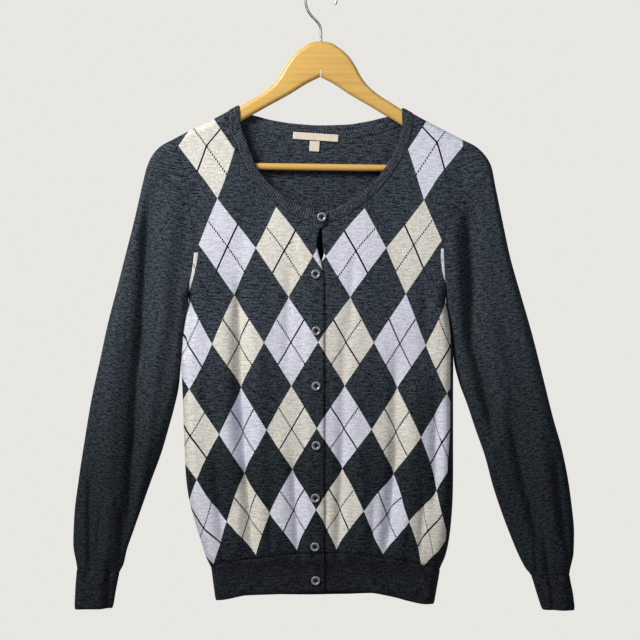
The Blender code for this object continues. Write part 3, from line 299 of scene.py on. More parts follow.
# %% [markdown]
# ## Smooth curves through tables
# A monotone cubic never overshoots its rows, so an outline stays where it was measured. It is worked out on
# whole arrays at once with numpy, which keeps the script quick.

# %% Curve helpers
def monotone(keys, values, at):
    """Smooth values between table rows that never overshoot them."""
    keys = np.asarray(keys, float)
    values = np.asarray(values, float)
    at = np.clip(np.asarray(at, float), keys[0], keys[-1])
    steps = np.diff(values) / np.diff(keys)
    before, after = steps[:-1], steps[1:]
    same = before * after > 0
    inner = np.where(same, 2 * before * after / np.where(same, before + after, 1.0), 0.0)
    slopes = np.concatenate([steps[:1], inner, steps[-1:]])
    i = np.clip(np.searchsorted(keys, at) - 1, 0, len(keys) - 2)
    span = keys[i + 1] - keys[i]
    t = (at - keys[i]) / span
    start = (1 + 2 * t) * (1 - t) ** 2 * values[i] + t * (1 - t) ** 2 * slopes[i] * span
    return start + t * t * (3 - 2 * t) * values[i + 1] + t * t * (t - 1) * slopes[i + 1] * span


def unit(vectors):
    """The same directions with length one."""
    return vectors / np.maximum(np.linalg.norm(vectors, axis=-1, keepdims=True), 1e-9)


def along(table, column, at):
    """One column of a table where its first column equals at."""
    rows = sorted(table)
    return monotone([row[0] for row in rows], [row[column] for row in rows], at)


def row_at(table, position):
    """All columns of a table at a fractional row number."""
    numbers = range(len(table))
    return [monotone(numbers, [row[c] for row in table], position) for c in range(len(table[0]))]


def ease(value, start, end):
    """0 before start, 1 after end, smooth between."""
    t = np.clip((np.asarray(value, float) - start) / (end - start), 0.0, 1.0)
    return t * t * (3 - 2 * t)


def fold_height(folds, x, z):
    """Height of the soft folds at places seen from the front."""
    total = np.zeros(np.broadcast(x, z).shape)
    for x_top, z_top, x_bottom, z_bottom, half_width, height in folds:
        t = (z_top - z) / (z_top - z_bottom)
        reach = ease(t, -0.18, 0.22) * (1.0 - ease(t, 0.82, 1.16))
        across = (x - (x_top + (x_bottom - x_top) * np.clip(t, 0.0, 1.0))) / half_width
        total = total + height * reach * np.exp(-across * across)
    return total


print("front depth at the underarm:", float(along(BODY_SECTIONS, 3, UNDERARM)), "mm")

# %% [markdown]
# ## Form of the body
# Front and back are one closed form: it hangs straight down, turns over the wooden shoulder at the top and
# round the side seam below the arm. Three shares, depth, top and side, whose squares add up to one, give
# round turns without any joint between them.

# %% Body form
def side_line(side, z):
    """Inner face of the cloth at the side seam."""
    return along(BODY_SECTIONS, 1 if side < 0 else 2, z) - side * CLOTH


def ridge_height(x):
    """Height of the cloth's inner face on the shoulder."""
    return along(SHOULDER_LINE, 1, x) - RIDGE_INSET


def under_arm(z):
    """0 up the armhole, 1 from the underarm down."""
    return ease(UNDERARM + UNDERARM_TURN - np.asarray(z, float), 0.0, UNDERARM_TURN)


def body_terms(x, z, back):
    """Depth of the form, and its shares of turning at the shoulder and at the side."""
    depth = along(BODY_SECTIONS, 4 if back else 3, z) - CLOTH
    depth = depth + fold_height(BACK_FOLDS if back else FRONT_FOLDS, x, z)
    top = np.maximum(0.0, 1.0 - (ridge_height(x) - z) / RIDGE_TURN)
    inward = np.minimum(x - side_line(-1, z), side_line(1, z) - x)
    side = np.maximum(0.0, 1.0 - inward / along(BODY_SECTIONS, 5, z)) * np.sqrt(under_arm(z))
    return depth, top, side


def body_points(x, z, back):
    """Inner face of the cloth at places seen from the front."""
    depth, top, side = body_terms(x, z, back)
    reach = np.sqrt(np.maximum(0.0, 1.0 - top * top - side * side))
    y = depth * reach * (1.0 if back else -1.0)
    return np.stack([x + 0 * z, y, z + 0 * x], axis=-1)


def body_level(x, y, z, back):
    """1 on the form, more outside it."""
    depth, top, side = body_terms(x, z, back)
    return (y / depth) ** 2 + top * top + side * side


def body_normals(points, back):
    """Outward directions of the form at the given points."""
    step = 0.05
    x, y, z = points[..., 0], points[..., 1], points[..., 2]
    y = np.maximum(np.abs(y), 0.02) * (1.0 if back else -1.0)
    gx = body_level(x + step, y, z, back) - body_level(x - step, y, z, back)
    gz = body_level(x, y, z + step, back) - body_level(x, y, z - step, back)
    gy = 4 * step * y / body_terms(x, z, back)[0] ** 2
    return unit(np.stack([gx, gy, gz], axis=-1))


def lifted(x, z):
    """Stand-off of the upper layer near its free edge."""
    start = along(UPPER_EDGE, 1, z) - OVERLAP - LIFT_MARGIN
    t = np.clip((x - (start - LIFT_WIDTH)) / LIFT_WIDTH, 0.0, 1.0)
    return LAYER * t * t * (3 - 2 * t)


print("body width at the underarm:", float(side_line(1, UNDERARM) - side_line(-1, UNDERARM)), "mm")

# %% [markdown]
# ## Cloth walls
# Knitted cloth has two faces and an edge. A grid of inner points is moved out along its normals by the
# wall's thickness, and both faces are joined round the border, so the mesh is closed. Two attributes ride
# on its points: where a place lies in the cloth, in millimetres, and where it lies in the argyle chart.

# %% Mesh helpers
ROLLED = 0.7


def made(name, vertices, faces, attributes):
    """A mesh object with named vector attributes on its points."""
    mesh = bpy.data.meshes.new(name)
    mesh.from_pydata((np.asarray(vertices) * MM).tolist(), [], faces)
    for key, values in attributes.items():
        layer = mesh.attributes.new(key, "FLOAT_VECTOR", "POINT")
        layer.data.foreach_set("vector", np.asarray(values, np.float32).ravel())
    body = bmesh.new()
    body.from_mesh(mesh)
    bmesh.ops.recalc_face_normals(body, faces=body.faces)
    body.to_mesh(mesh)
    body.free()
    mesh.shade_smooth()
    item = bpy.data.objects.new(name, mesh)
    bpy.context.scene.collection.objects.link(item)
    return item


def wall(name, inner, normals, thickness, closed, attributes):
    """A cloth wall from a grid of inner points."""
    rows, columns = inner.shape[:2]
    outer = inner + normals * np.broadcast_to(thickness, (rows, columns))[..., None]
    ids = np.arange(rows * columns).reshape(rows, columns)
    if closed:
        ids = np.concatenate([ids, ids[:, :1]], axis=1)
    quads = np.stack([ids[:-1, :-1], ids[:-1, 1:], ids[1:, 1:], ids[1:, :-1]], axis=-1).reshape(-1, 4)
    shift = rows * columns
    faces = quads.tolist() + (quads[:, ::-1] + shift).tolist()
    edges = [ids[0], ids[-1, ::-1]]
    if not closed:
        edges += [ids[::-1, 0], ids[:, -1]]
    for line in edges:
        for a, b in zip(line, line[1:]):
            faces.append([int(b), int(a), int(a) + shift, int(b) + shift])
    vertices = np.concatenate([inner.reshape(-1, 3), outer.reshape(-1, 3)])
    doubled = {key: np.tile(values.reshape(-1, 3), (2, 1)) for key, values in attributes.items()}
    item = made(name, vertices, faces, doubled)
    print(name, len(item.data.polygons), "faces")
    return item


def cloth_place(points):
    """Distances over the cloth, across and along it, as an attribute."""
    middle = points[points.shape[0] // 2]
    steps = np.linalg.norm(np.diff(middle, axis=0), axis=1)
    across = np.concatenate([[0.0], np.cumsum(steps)])
    down_steps = np.linalg.norm(np.diff(points.mean(axis=1), axis=0), axis=1)
    down = np.concatenate([[0.0], np.cumsum(down_steps)])
    return np.stack(np.broadcast_arrays(across[None, :], down[:, None], 0.0), axis=-1)


def level_place(points):
    """The same for a panel that hangs with its courses level."""
    return np.stack([points[..., 0], -points[..., 2], 0 * points[..., 0]], axis=-1)


# %% Grid helpers
def grid_normals(points, outward, closed=False):
    """Normals of a grid of points, all on the side that outward gives on the whole."""
    if closed:
        across = np.roll(points, -1, axis=1) - np.roll(points, 1, axis=1)
    else:
        across = np.gradient(points, axis=1)
    normals = unit(np.cross(across, np.gradient(points, axis=0)))
    return normals * (1.0 if np.sum(normals * outward) > 0 else -1.0)


def rolled(count):
    """Thickness shares of a row of points that thins at its sewn or rolled ends."""
    shares = np.ones(count)
    shares[[0, -1]] = ROLLED
    return shares


print("cloth wall:", CLOTH, "mm, thinned to", CLOTH * ROLLED, "mm at seams")

# %% [markdown]
# ## The argyle chart
# Argyle is a chart of diamonds that touch tip to tip, crossed by thin overcheck lines. Each point of the two
# fronts gets its place in that chart: u counts diamonds outwards from the closure and v counts rows down.
# The chart leans and narrows as the hanging cloth does, so a short table gives where the columns meet at
# the middle of each row. Image textures aren't needed, as the yarn follows from these two numbers.

# %% Chart places
ROW_TOPS = (  # v, z at the closure, droop at 131 mm to the right and to the left
    (0.0, -164.0, -6.5, -9.0), (0.5, -214.0, -9.0, -11.0), (1.0, -282.0, -13.0, -11.5),
    (1.5, -333.0, -5.0, -8.0), (2.0, -391.5, -2.5, -5.5), (2.5, -448.5, 2.0, 4.0), (3.0, -502.5, 3.5, 7.0),
    (3.5, -555.5, 8.0, 13.0), (4.0, -605.5, 11.5, 20.5), (4.5, -656.5, 19.0, 25.0), (5.0, -706.5, 17.0, 28.0))
DROOP_WIDTH = 131.0
DROOP_RIGHT, DROOP_LEFT = (2.0, 1.2), (3.0, 1.38)  # how the droop grows aside, and its most
DIP, DIP_X, DIP_WIDTH, DIP_Z, DIP_REACH = 9.0, -2.0, 37.0, -345.0, 50.0  # rows sag where the fronts pull
ROW_ABOVE, ROW_BELOW = 115.0, 101.0  # height of a row past the table's ends
# At its top, beside the armpit, the plain charcoal is painted shade of the armpit hollow.
PLAIN_STRIP = (  # z, x beyond which the wearer's left front is plain
    (-372.0, 152.5), (-400.0, 156.0), (-420.0, 158.5), (-440.0, 160.5), (-550.0, 160.0), (-604.0, 157.0),
    (-686.0, 154.9), (-720.0, 150.0))
COLUMNS_RIGHT = (  # v, distance of the column tips 0, 1, 2 and 3 from the middle line
    (0.5, 37.4, 107.8, 178.1, 248.6),
    (1.0, 20.5, 91.5, 166.5, 212.0),
    (1.5, 10.1, 81.1, 152.3, 182.0),
    (2.5, 3.3, 70.9, 135.1, 194.9),
    (3.5, 5.1, 67.8, 126.1, 198.0),
    (4.0, 5.4, 66.5, 125.5, 183.0),
    (4.5, 5.9, 63.8, 116.4, 174.0),
    (5.0, 5.8, 54.9, 106.1, 159.9))
COLUMNS_LEFT = (
    (0.5, 27.6, 108.9, 181.4, 253.9),
    (1.0, 15.0, 94.0, 163.5, 205.0),
    (1.5, 6.1, 81.3, 150.6, 160.0),
    (2.0, 0.6, 72.0, 139.6, 176.0),
    (2.5, -3.3, 66.0, 130.3, 190.1),
    (3.5, -5.1, 63.1, 124.0, 178.0),
    (4.0, -5.3, 59.5, 122.5, 166.5),
    (4.5, -5.5, 53.0, 109.6, 157.0),
    (5.0, -5.6, 43.3, 110.0, 141.0))
# Charcoal painted over the pattern in the other armpit as painted shade of its hollow.
ARMPIT_SHADE_PATCH = (-161.5, -391.0, 18.0)  # x, z and half height of the plain cloth in the other armpit
CHEST_ROWS = 2.2  # rows that the armhole cuts
ARM_ROW = 1.58  # row at which a third diamond comes in at the armhole
INSIDE = 50.0  # any value above zero counts as inside
print("chart:", int(ROW_TOPS[-1][0]), "rows,", len(COLUMNS_RIGHT[0]) - 1, "column tips a side")

# %% [markdown]
# ## From a place to the chart
# The tables are read the other way round: from a place on the cloth to its row and its column. The row
# comes first, because the columns' distances depend on it.

# %% Row, column and edge at a place
def chart_row(x, z):
    """Row number v at places seen from the front."""
    tops, heights, droops_right, droops_left = zip(*ROW_TOPS)
    levels = [-height for height in heights]
    power = np.where(x < 0, DROOP_RIGHT[0], DROOP_LEFT[0])
    most = np.where(x < 0, DROOP_RIGHT[1], DROOP_LEFT[1])
    aside = np.minimum(np.abs(x / DROOP_WIDTH) ** power, most)
    z = z + DIP * np.exp(-((x - DIP_X) / DIP_WIDTH) ** 2 - ((z - DIP_Z) / DIP_REACH) ** 2)
    v = np.interp(-z, levels, tops)
    for _ in range(4):  # the droop depends on the row itself, so it settles in a few passes
        droop = np.where(x < 0, np.interp(v, tops, droops_right), np.interp(v, tops, droops_left)) * aside
        level = -(z + droop)
        v = np.interp(level, levels, tops)
        v = v + np.minimum(0.0, level - levels[0]) / ROW_ABOVE
        v = v + np.maximum(0.0, level - levels[-1]) / ROW_BELOW
    return v


def chart_edge(chart, x, z, side):
    """Above zero inside the patterned part of a front: its armholes and sides are plain, and by the armpits
    plain charcoal is painted shade of the hollow.
    """
    u, v = chart[..., 0], chart[..., 1]
    shoulder = np.where(v < 1.0, 2.0 - u + np.minimum(v, 0.0), np.maximum(2.0 - u, v - ARM_ROW)) * INSIDE
    if side > 0:
        low = np.where(z > PLAIN_STRIP[0][0], INSIDE, along(PLAIN_STRIP, 1, z) - x)
    else:
        low = np.where(np.abs(z - ARMPIT_SHADE_PATCH[1]) < ARMPIT_SHADE_PATCH[2], x - ARMPIT_SHADE_PATCH[0], INSIDE)
    return np.stack([np.where(v < CHEST_ROWS, shoulder, low), 0 * x, 0 * x], axis=-1)


def chart_place(x, z, side):
    """u, v and the colour order of a front, as an attribute."""
    table = COLUMNS_RIGHT if side < 0 else COLUMNS_LEFT
    v = chart_row(x, z)
    tips = [along(table, c, v) for c in range(1, 5)]
    distance = x * side
    pitch = tips[1] - tips[0]
    u = (distance - tips[0]) / pitch
    for n in (1, 2):
        pitch = tips[n + 1] - tips[n]
        u = np.where(distance > tips[n], n + (distance - tips[n]) / pitch, u)
    return np.stack([u, v, np.full(u.shape, 1.0 if side < 0 else 0.0)], axis=-1)


print("row at the third button:", round(float(chart_row(np.array(-6.0), np.array(-434.5))), 2))

# %% [markdown]
# ## The two fronts
# Each front runs from the neckband and the closure out to the armhole and the side seam. The rows of its
# grid leave the shoulder along the hanger and arrive at the hem's seam. The wearer's right front laps over
# the left one, so it stands off by one layer near the closure.

# %% Rows and seams
ARM_SHARES = (0.0, 0.006, 0.018, 0.042, 0.11, 0.24, 0.42, 0.60, 0.75, 0.86, 0.93, 0.975, 1.0)
RIDGE_ARCS = (0.0, 4.2, 7.8, 12.0)
ARM_ROWS = 12.0
NECK_ROWS = 11.0
BODY_ROWS = 13.0
ROWS = ARM_ROWS + BODY_ROWS
FINE = 8
RIDGE_FADE = 4.0
HEM_FADE = 3.0
EDGE_CROWDING = 1.35  # rows lie closer together just below the neckband


def armhole_points(side, share):
    """Places on an armhole seam; share 0 is the shoulder, 1 the underarm."""
    table = ARMHOLE_RIGHT if side < 0 else ARMHOLE_LEFT
    top = ridge_height(table[0][1])
    z = top + (table[-1][0] - top) * np.asarray(share, float)
    x = along(table, 1, z)
    return x + (side_line(side, z) - x) * under_arm(z), z


def outer_boundary(side, k):
    """Armhole seam, then side seam, at row numbers k."""
    arm_x, arm_z = armhole_points(side, monotone(range(len(ARM_SHARES)), ARM_SHARES, k))
    z_seam = along(HEM_SEAM, 1, side_line(side, SIDE_HEM[0]))
    z = UNDERARM + (z_seam - UNDERARM) * np.clip((k - ARM_ROWS) / BODY_ROWS, 0.0, 1.0)
    low = k > ARM_ROWS
    return np.where(low, side_line(side, z), arm_x), np.where(low, z, arm_z)


def neck_curve(table, back=False):
    """A fine line of points on the cloth's form along a neck table, from the ridge down."""
    rows = [(float(ridge_height(table[0][1])), table[0][1])] + list(table[1:])
    z, x = row_at(rows, (len(rows) - 1) * np.linspace(0.0, 1.0, 400) ** 2)
    return body_points(x, z, back)


def lengths_of(line):
    """Distance of each point from the first, along the line."""
    return np.concatenate([[0.0], np.cumsum(np.linalg.norm(np.diff(line, axis=0), axis=1))])


def at_lengths(line, targets):
    """Points at given distances along a line."""
    lengths = lengths_of(line)
    return np.stack([np.interp(targets, lengths, line[:, c]) for c in range(3)], axis=-1)


def inner_boundary(side, k):
    """Neckband seam, then free edge, at row numbers k."""
    neck = NECK_OUTER_RIGHT if side < 0 else NECK_OUTER_LEFT
    edge = UPPER_EDGE if side < 0 else LOWER_EDGE
    line = neck_curve(neck)
    below_ridge = lengths_of(line)[-1] - RIDGE_ARCS[-1]
    arcs = list(RIDGE_ARCS) + [RIDGE_ARCS[-1] + below_ridge * (n + 1) / 8 for n in range(8)]
    points = at_lengths(line, monotone(range(len(arcs)), arcs, np.minimum(k, NECK_ROWS)))
    t = np.clip((k - NECK_ROWS) / (ROWS - NECK_ROWS), 0.0, 1.0)
    z = neck[-1][0] + (along(HEM_SEAM, 1, 0.0) - neck[-1][0]) * t ** EDGE_CROWDING
    low = k > NECK_ROWS
    return np.where(low, along(edge, 1, z), points[:, 0]), np.where(low, z, points[:, 2])


def to_hem_seam(x, z, k):
    """The heights with their last rows drawn onto the hem's seam."""
    near_hem = np.clip((k - ROWS) / HEM_FADE + 1, 0.0, 1.0)[:, None]
    return z + (along(HEM_SEAM, 1, x[-1]) - z[-1])[None, :] * near_hem


seam_ends = armhole_points(1, np.array([0.0, 1.0]))[1]
print("armhole seam, top and bottom:", [round(float(a), 1) for a in seam_ends])

# %% [markdown]
# ## Knitting the fronts
# A front is shaped by its edges, so the grid is spread between its inner and outer edge, row by row. Its
# first row is drawn onto the shoulder and its last onto the hem's seam. Modelling it by hand from a plane
# would look the same, but could not be corrected from the tables.

# %% Front panels
FRONT_COLUMNS = 72
COLUMN_CROWDING = 1.25  # columns lie closer together at the side seam


def front_panel(side, name):
    """One front as a cloth wall with its places in the chart."""
    k = np.arange(0, int(ROWS * FINE) + 1) / FINE
    inner_x, inner_z = inner_boundary(side, k)
    outer_x, outer_z = outer_boundary(side, k)
    share = 1 - (1 - np.linspace(0.0, 1.0, FRONT_COLUMNS + 1)) ** COLUMN_CROWDING
    x = inner_x[:, None] + (outer_x - inner_x)[:, None] * share
    z = inner_z[:, None] + (outer_z - inner_z)[:, None] * share
    z = z + (ridge_height(x[0]) - z[0])[None, :] * (1 - ease(k, 0.0, RIDGE_FADE))[:, None]
    z = to_hem_seam(x, z, k)
    points = body_points(x, z, False)
    normals = body_normals(points, False)
    if side < 0:
        points = points + normals * lifted(x, z)[..., None]
    thickness = CLOTH * rolled(len(k))[:, None] * rolled(FRONT_COLUMNS + 1)[None, :]
    chart = chart_place(x, z, side)
    spread = {"cloth": level_place(points), "argyle": chart, "strip": chart_edge(chart, x, z, side)}
    return wall(name, points, normals, thickness, False, spread)


front_right = front_panel(-1, "knit_front_right")
front_left = front_panel(1, "knit_front_left")

# %% [markdown]
# ## The back
# The back's top row follows the shoulder, turns down at the neck's corner, crosses below the neckband and
# climbs to the other shoulder. Its columns fan out from there to even steps.

# %% Back panel
NECK_DROP = 8.0
SHOULDER_COLUMNS = 18
CORNER_COLUMNS = 5
NECK_COLUMNS = 58


def neck_corner(x, end_x, drops):
    """Places where a neck curve leaves the shoulder ridge and runs down the back."""
    return x + (end_x - x) * drops / NECK_DROP, ridge_height(x) - drops


def back_top_row(table, first, last, corner_columns, neck_columns):
    """x and z along the back's neck from ridge to ridge."""
    drops = np.linspace(0.0, NECK_DROP, corner_columns + 1)
    right_x, right_z = neck_corner(first, table[0][0], drops)
    left_x, left_z = neck_corner(last, table[-1][0], drops[::-1])
    middle_x = np.linspace(table[0][0], table[-1][0], neck_columns + 1)[1:-1]
    middle_z = along(table, 1, middle_x)
    x = np.concatenate([right_x, middle_x, left_x])
    return x, np.concatenate([right_z, middle_z, left_z])


def back_panel():
    """The back as one cloth wall from armhole to armhole."""
    k = np.arange(0, int(ROWS * FINE) + 1) / FINE
    right_x, right_z = outer_boundary(-1, k)
    left_x, left_z = outer_boundary(1, k)
    first, last = NECK_OUTER_RIGHT[0][1], NECK_OUTER_LEFT[0][1]
    neck_x, neck_z = back_top_row(NECK_BACK_OUTER, first, last, CORNER_COLUMNS, NECK_COLUMNS)
    shares = np.linspace(0.0, 1.0, SHOULDER_COLUMNS + 1)[:-1]
    right_top = right_x[0] + (first - right_x[0]) * shares
    left_top = (left_x[0] + (last - left_x[0]) * shares)[::-1]
    top_x = np.concatenate([right_top, neck_x, left_top])
    top_z = np.concatenate([ridge_height(right_top), neck_z, ridge_height(left_top)])
    count = len(top_x)
    number = np.arange(count)
    share = number / (count - 1)
    even = ((1 - np.cos(np.pi * number / (count - 1))) / 2 + share) / 2
    near_right = np.maximum(0.0, 1 - number / SHOULDER_COLUMNS)
    near_left = near_right[::-1]
    x = top_x + (right_x - right_x[0])[:, None] * near_right + (left_x - left_x[0])[:, None] * near_left
    width = (left_x - right_x)[:, None]
    spread_x = right_x[:, None] + width * even
    x = x + (spread_x - x) * ease(k, RIDGE_FADE, ARM_ROWS)[:, None]
    side_z = right_z[:, None] + (left_z - right_z)[:, None] * (x - right_x[:, None]) / width
    arm_share = monotone(range(len(ARM_SHARES)), ARM_SHARES, np.minimum(k, ARM_ROWS))[:, None]
    arm_z = top_z + (UNDERARM - top_z) * arm_share
    z = to_hem_seam(x, np.where((k <= ARM_ROWS)[:, None], arm_z, side_z), k)
    points = body_points(x, z, True)
    thickness = CLOTH * rolled(len(k))[:, None] * rolled(count)[None, :]
    return wall("knit_back", points, body_normals(points, True), thickness, False,
                {"cloth": level_place(points)})


back = back_panel()

# %% [markdown]
# ## Ribbed bands
# Ribs are columns of knit stitches that stand up between sunken ones, so they are real relief on the outer
# face, over a plain inside. The neckband's ribs are 3.1 mm apart, as counted in the photo. Those of the
# hem and cuffs are finer. A sine along the band gives their round backs.

# %% Neckband
BAND_PITCH = 3.1
BAND_RELIEF = 0.7
BAND_COLUMNS = 9
BAND_EDGE = np.array([0.5, 0.9] + [1.0] * (BAND_COLUMNS - 4) + [0.9, 0.6])  # from the rolled edge to the seam
BACK_BAND_COLUMNS = (12, 90)  # at each neck corner and across
RIB_SAMPLES = 8


def rib_wave(ribs):
    """0 in a furrow, 1 on a rib's back, where ribs counts them along the band."""
    return np.sqrt(np.abs(np.sin(np.pi * ribs)))


def back_neck_line(table, right, left):
    """A neck line across the back, from one shoulder to the other."""
    return body_points(*back_top_row(table, right[0][1], left[0][1], *BACK_BAND_COLUMNS), True)


def neckband():
    """The band in three stretches: up the right front, across the back and down the left front."""
    stretches = (
        (neck_curve(NECK_INNER_RIGHT)[::-1], neck_curve(NECK_OUTER_RIGHT)[::-1]),
        (back_neck_line(NECK_BACK_INNER, NECK_INNER_RIGHT, NECK_INNER_LEFT),
         back_neck_line(NECK_BACK_OUTER, NECK_OUTER_RIGHT, NECK_OUTER_LEFT)),
        (neck_curve(NECK_INNER_LEFT), neck_curve(NECK_OUTER_LEFT)))
    lines, waves, uppers = [], [], []
    for number, (inside, seam) in enumerate(stretches):
        length = lengths_of(inside)[-1]
        ribs = int(round(length / BAND_PITCH))
        steps = np.linspace(0.0, 1.0, ribs * RIB_SAMPLES + 1)[1 if number else 0:]
        a = at_lengths(inside, steps * length)
        b = at_lengths(seam, steps * lengths_of(seam)[-1])
        across = np.linspace(0.0, 1.0, BAND_COLUMNS)[None, :, None]
        lines.append(a[:, None, :] + (b - a)[:, None, :] * across)
        waves.append(rib_wave(steps * ribs))
        uppers.append(np.full(len(steps), 1.0 if number == 0 else 0.0))
    points = np.concatenate(lines)
    hint = np.stack([np.zeros(points.shape[:2]), np.where(points[..., 1] > 0, 1.0, -1.0),
                     np.full(points.shape[:2], 0.6)], axis=-1)
    normals = grid_normals(points, hint)
    lift = lifted(points[..., 0], points[..., 2]) * np.concatenate(uppers)[:, None]
    points = points + normals * lift[..., None]
    wave = np.concatenate(waves)[:, None]
    thickness = (RIB - BAND_RELIEF / 2) * np.maximum(BAND_EDGE, 0.55) + BAND_RELIEF * wave * BAND_EDGE
    place = cloth_place(points)[..., [1, 0, 2]]
    # The third value is the rib wave, which the rib's colours use for painted shade in the furrows.
    place[..., 2] = wave
    return wall("rib_neckband", points, normals, thickness, False, {"cloth": place})


band = neckband()

# %% [markdown]
# ## Hem ribs
# The hem is knitted in a fine rib that pulls the cloth in, in one strip below each panel. A texture of
# stripes would do from afar, but the lower edge shows the ribs in outline, so they are relief here too.

# %% Hem ribs
FINE_PITCH = 2.5
FINE_RELIEF = 0.55
FINE_ROWS = 22
FINE_SAMPLES = 6
# This softens the painted shade in the fine rib's furrows.
FINE_SHOW = 0.42  # what the colours read in a furrow, where they read 1 on a ridge


def fine_rib_wall(name, points, normals, wave, closed):
    """A wall with fine ribs on its outer face, thinner at its two edges."""
    rows = np.ones(FINE_ROWS + 1)
    rows[[0, -1]] = 0.25
    rows[[1, -2]] = 0.8
    rows = rows[:, None]
    thickness = (CLOTH - FINE_RELIEF / 2) * np.maximum(rows, 0.6) + FINE_RELIEF * rows * wave
    place = cloth_place(points)
    # The third value is the rib wave, which the rib's colours use for painted shade in the furrows.
    place[..., 2] = FINE_SHOW + (1 - FINE_SHOW) * wave
    return wall(name, points, normals, thickness, closed, {"cloth": place})


def hem_rib(name, start, end, is_back, upper):
    """Ribbed band below a panel between two columns, each given by its top and bottom place."""
    ribs = int(round(abs(end[0] - start[0]) / FINE_PITCH))
    share = np.linspace(0.0, 1.0, ribs * FINE_SAMPLES + 1)
    down = np.linspace(0.0, 1.0, FINE_ROWS + 1)[:, None]
    top_x = start[0] + (end[0] - start[0]) * share
    bottom_x = start[1] + (end[1] - start[1]) * share
    x = top_x + (bottom_x - top_x) * down
    top_z = along(HEM_SEAM, 1, top_x)
    bottom_z = along(HEM_EDGE, 1, bottom_x) - (along(BACK_DROPS, 1, bottom_x) if is_back else 0.0)
    z = top_z + (bottom_z - top_z) * down
    for column, side in ((0, -1), (-1, 1 if end[0] > 0 else -1)):
        if column == -1 or is_back:
            x[:, column] = side_line(side, z[:, column])
    points = body_points(x, z, is_back)
    normals = body_normals(points, is_back)
    if upper:
        points = points + normals * lifted(x, z)[..., None]
    return fine_rib_wall(name, points, normals, rib_wave(share * ribs), False)


right_side = [float(side_line(-1, z)) for z in SIDE_HEM]
left_side = [float(side_line(1, z)) for z in SIDE_HEM]
hem_right = hem_rib("rib_hem_right", [x for z, x in UPPER_EDGE[-2:]], right_side, False, True)
hem_left = hem_rib("rib_hem_left", [x for z, x in LOWER_EDGE[-2:]], left_side, False, False)
hem_back = hem_rib("rib_hem_back", right_side, left_side, True, False)

# %% [markdown]
# ## Sleeves and cuffs
# A sleeve is a flattened tube. Its sections run from the armhole, where it copies the body's own curve, to
# the cuff. Each section has an inner and an outer line seen from the front and a depth to each side.

# %% Armhole ring
OUTER_TURN = (7.5, 1.5)
INNER_TURN = (9.0, 1.2)
TURN_ROWS = 12.0
SEAM_STEP = 0.1
SLEEVE_STEP = 2.6  # the sleeve stands off the body this far in the armpit
ARMHOLE_REACH = 5.0


def ring_shares(turns):
    """Share of the way from the inner line to the outer one, at turns round the tube."""
    return (1 - np.cos(2 * np.pi * turns)) / 2


def armhole_ring(side, turns):
    """The sleeve's edge at the armhole: its points and normals, underarm first, up the front."""
    share = 1 - ring_shares(turns)
    x, z = armhole_points(side, share)
    is_front = (turns <= 0.5)[:, None]
    front, rear = body_points(x, z, False), body_points(x, z, True)
    points = np.where(is_front, front, rear)
    normals = np.where(is_front, body_normals(front, False), body_normals(rear, True))
    low = (share > 0.5).astype(float)
    turn = np.abs(normals[:, 0]) * low
    turn[0] = 1.0
    normals[:, 0] = np.where(low > 0, -normals[:, 0], normals[:, 0])
    normals[0] = (side, 0.0, 0.0)
    points = points + np.stack([side * (SEAM_STEP + SLEEVE_STEP * turn), 0 * turn, 0 * turn], axis=-1)
    return points, unit(normals)


# %% [markdown]
# ## Sleeve sections
# Between two rows of the table the lines and depths run on smoothly, so a section can be taken anywhere.
# Both faces are nearly flat and turn round at the two edges, and the creases lower or raise them.

# %% Sections and their join to the armhole
BACK_FOLD_SHARE = 0.5  # a fold of the front presses through to the sleeve's back


def sleeve_sections(side, positions, turns):
    """Inner face of the sleeve at fractional sections and places round it, 0 at the inner line."""
    table = SLEEVE_RIGHT if side < 0 else SLEEVE_LEFT
    x_in, z_in, x_out, z_out, front, rear, middle = [c[:, None] for c in row_at(table, positions)]
    width = np.hypot(x_out - x_in, z_out - z_in)
    inside = width - 2 * CLOTH
    share = ring_shares(turns)[None, :]
    reach_share = (CLOTH + inside * share) / width
    x = x_in + (x_out - x_in) * reach_share
    z = z_in + (z_out - z_in) * reach_share
    is_front = (turns < 0.5)[None, :]
    rows = np.minimum(positions, TURN_ROWS)[:, None]
    outer = np.maximum(0.0, 1 - inside * (1 - share) / (OUTER_TURN[0] + OUTER_TURN[1] * rows))
    inner = np.maximum(0.0, 1 - inside * share / (INNER_TURN[0] + INNER_TURN[1] * rows))
    reach = np.sqrt(np.maximum(0.0, 1 - outer ** 2 - inner ** 2))
    folds = fold_height(SLEEVE_FOLDS_RIGHT if side < 0 else SLEEVE_FOLDS_LEFT, x, z)
    to_front = (front - CLOTH + folds) * reach
    to_back = (rear - CLOTH - BACK_FOLD_SHARE * folds) * reach
    y = np.where(is_front, middle - to_front, middle + to_back)
    return np.stack([x, y, z], axis=-1)


def sleeve_points(side, positions, turns):
    """Sections, drawn to the body's own curve at the armhole."""
    ring, ring_normals = armhole_ring(side, turns)
    base = sleeve_sections(side, np.array([0.0]), turns)[0]
    fade = np.maximum(0.0, 1.0 - positions / ARMHOLE_REACH) ** 2
    return sleeve_sections(side, positions, turns) + (ring - base)[None] * fade[:, None, None], ring_normals


cuff_section = sleeve_sections(1, np.array([float(CUFF_ROW)]), np.array([0.0, 0.5]))[0]
cuff_width = float(np.linalg.norm(cuff_section[0] - cuff_section[1]))
print("flat width where the left cuff starts:", round(cuff_width, 1))

# %% [markdown]
# ## Knitting the sleeves
# The ring of points at each section is joined to the next, and the wall stands out along the grid's own
# normals, blended to the body's where the sleeve is sewn in. The knit's courses lean with the arm, which
# the yarn reads from an attribute.

# %% Sleeves
SLEEVE_ROUND = 104
SLEEVE_ALONG = 170
SLEEVE_CROWDING = 1.15  # sections lie closer together at the armhole
SLEEVE_LEAN = 14.0
SEWN_REACH = 0.4


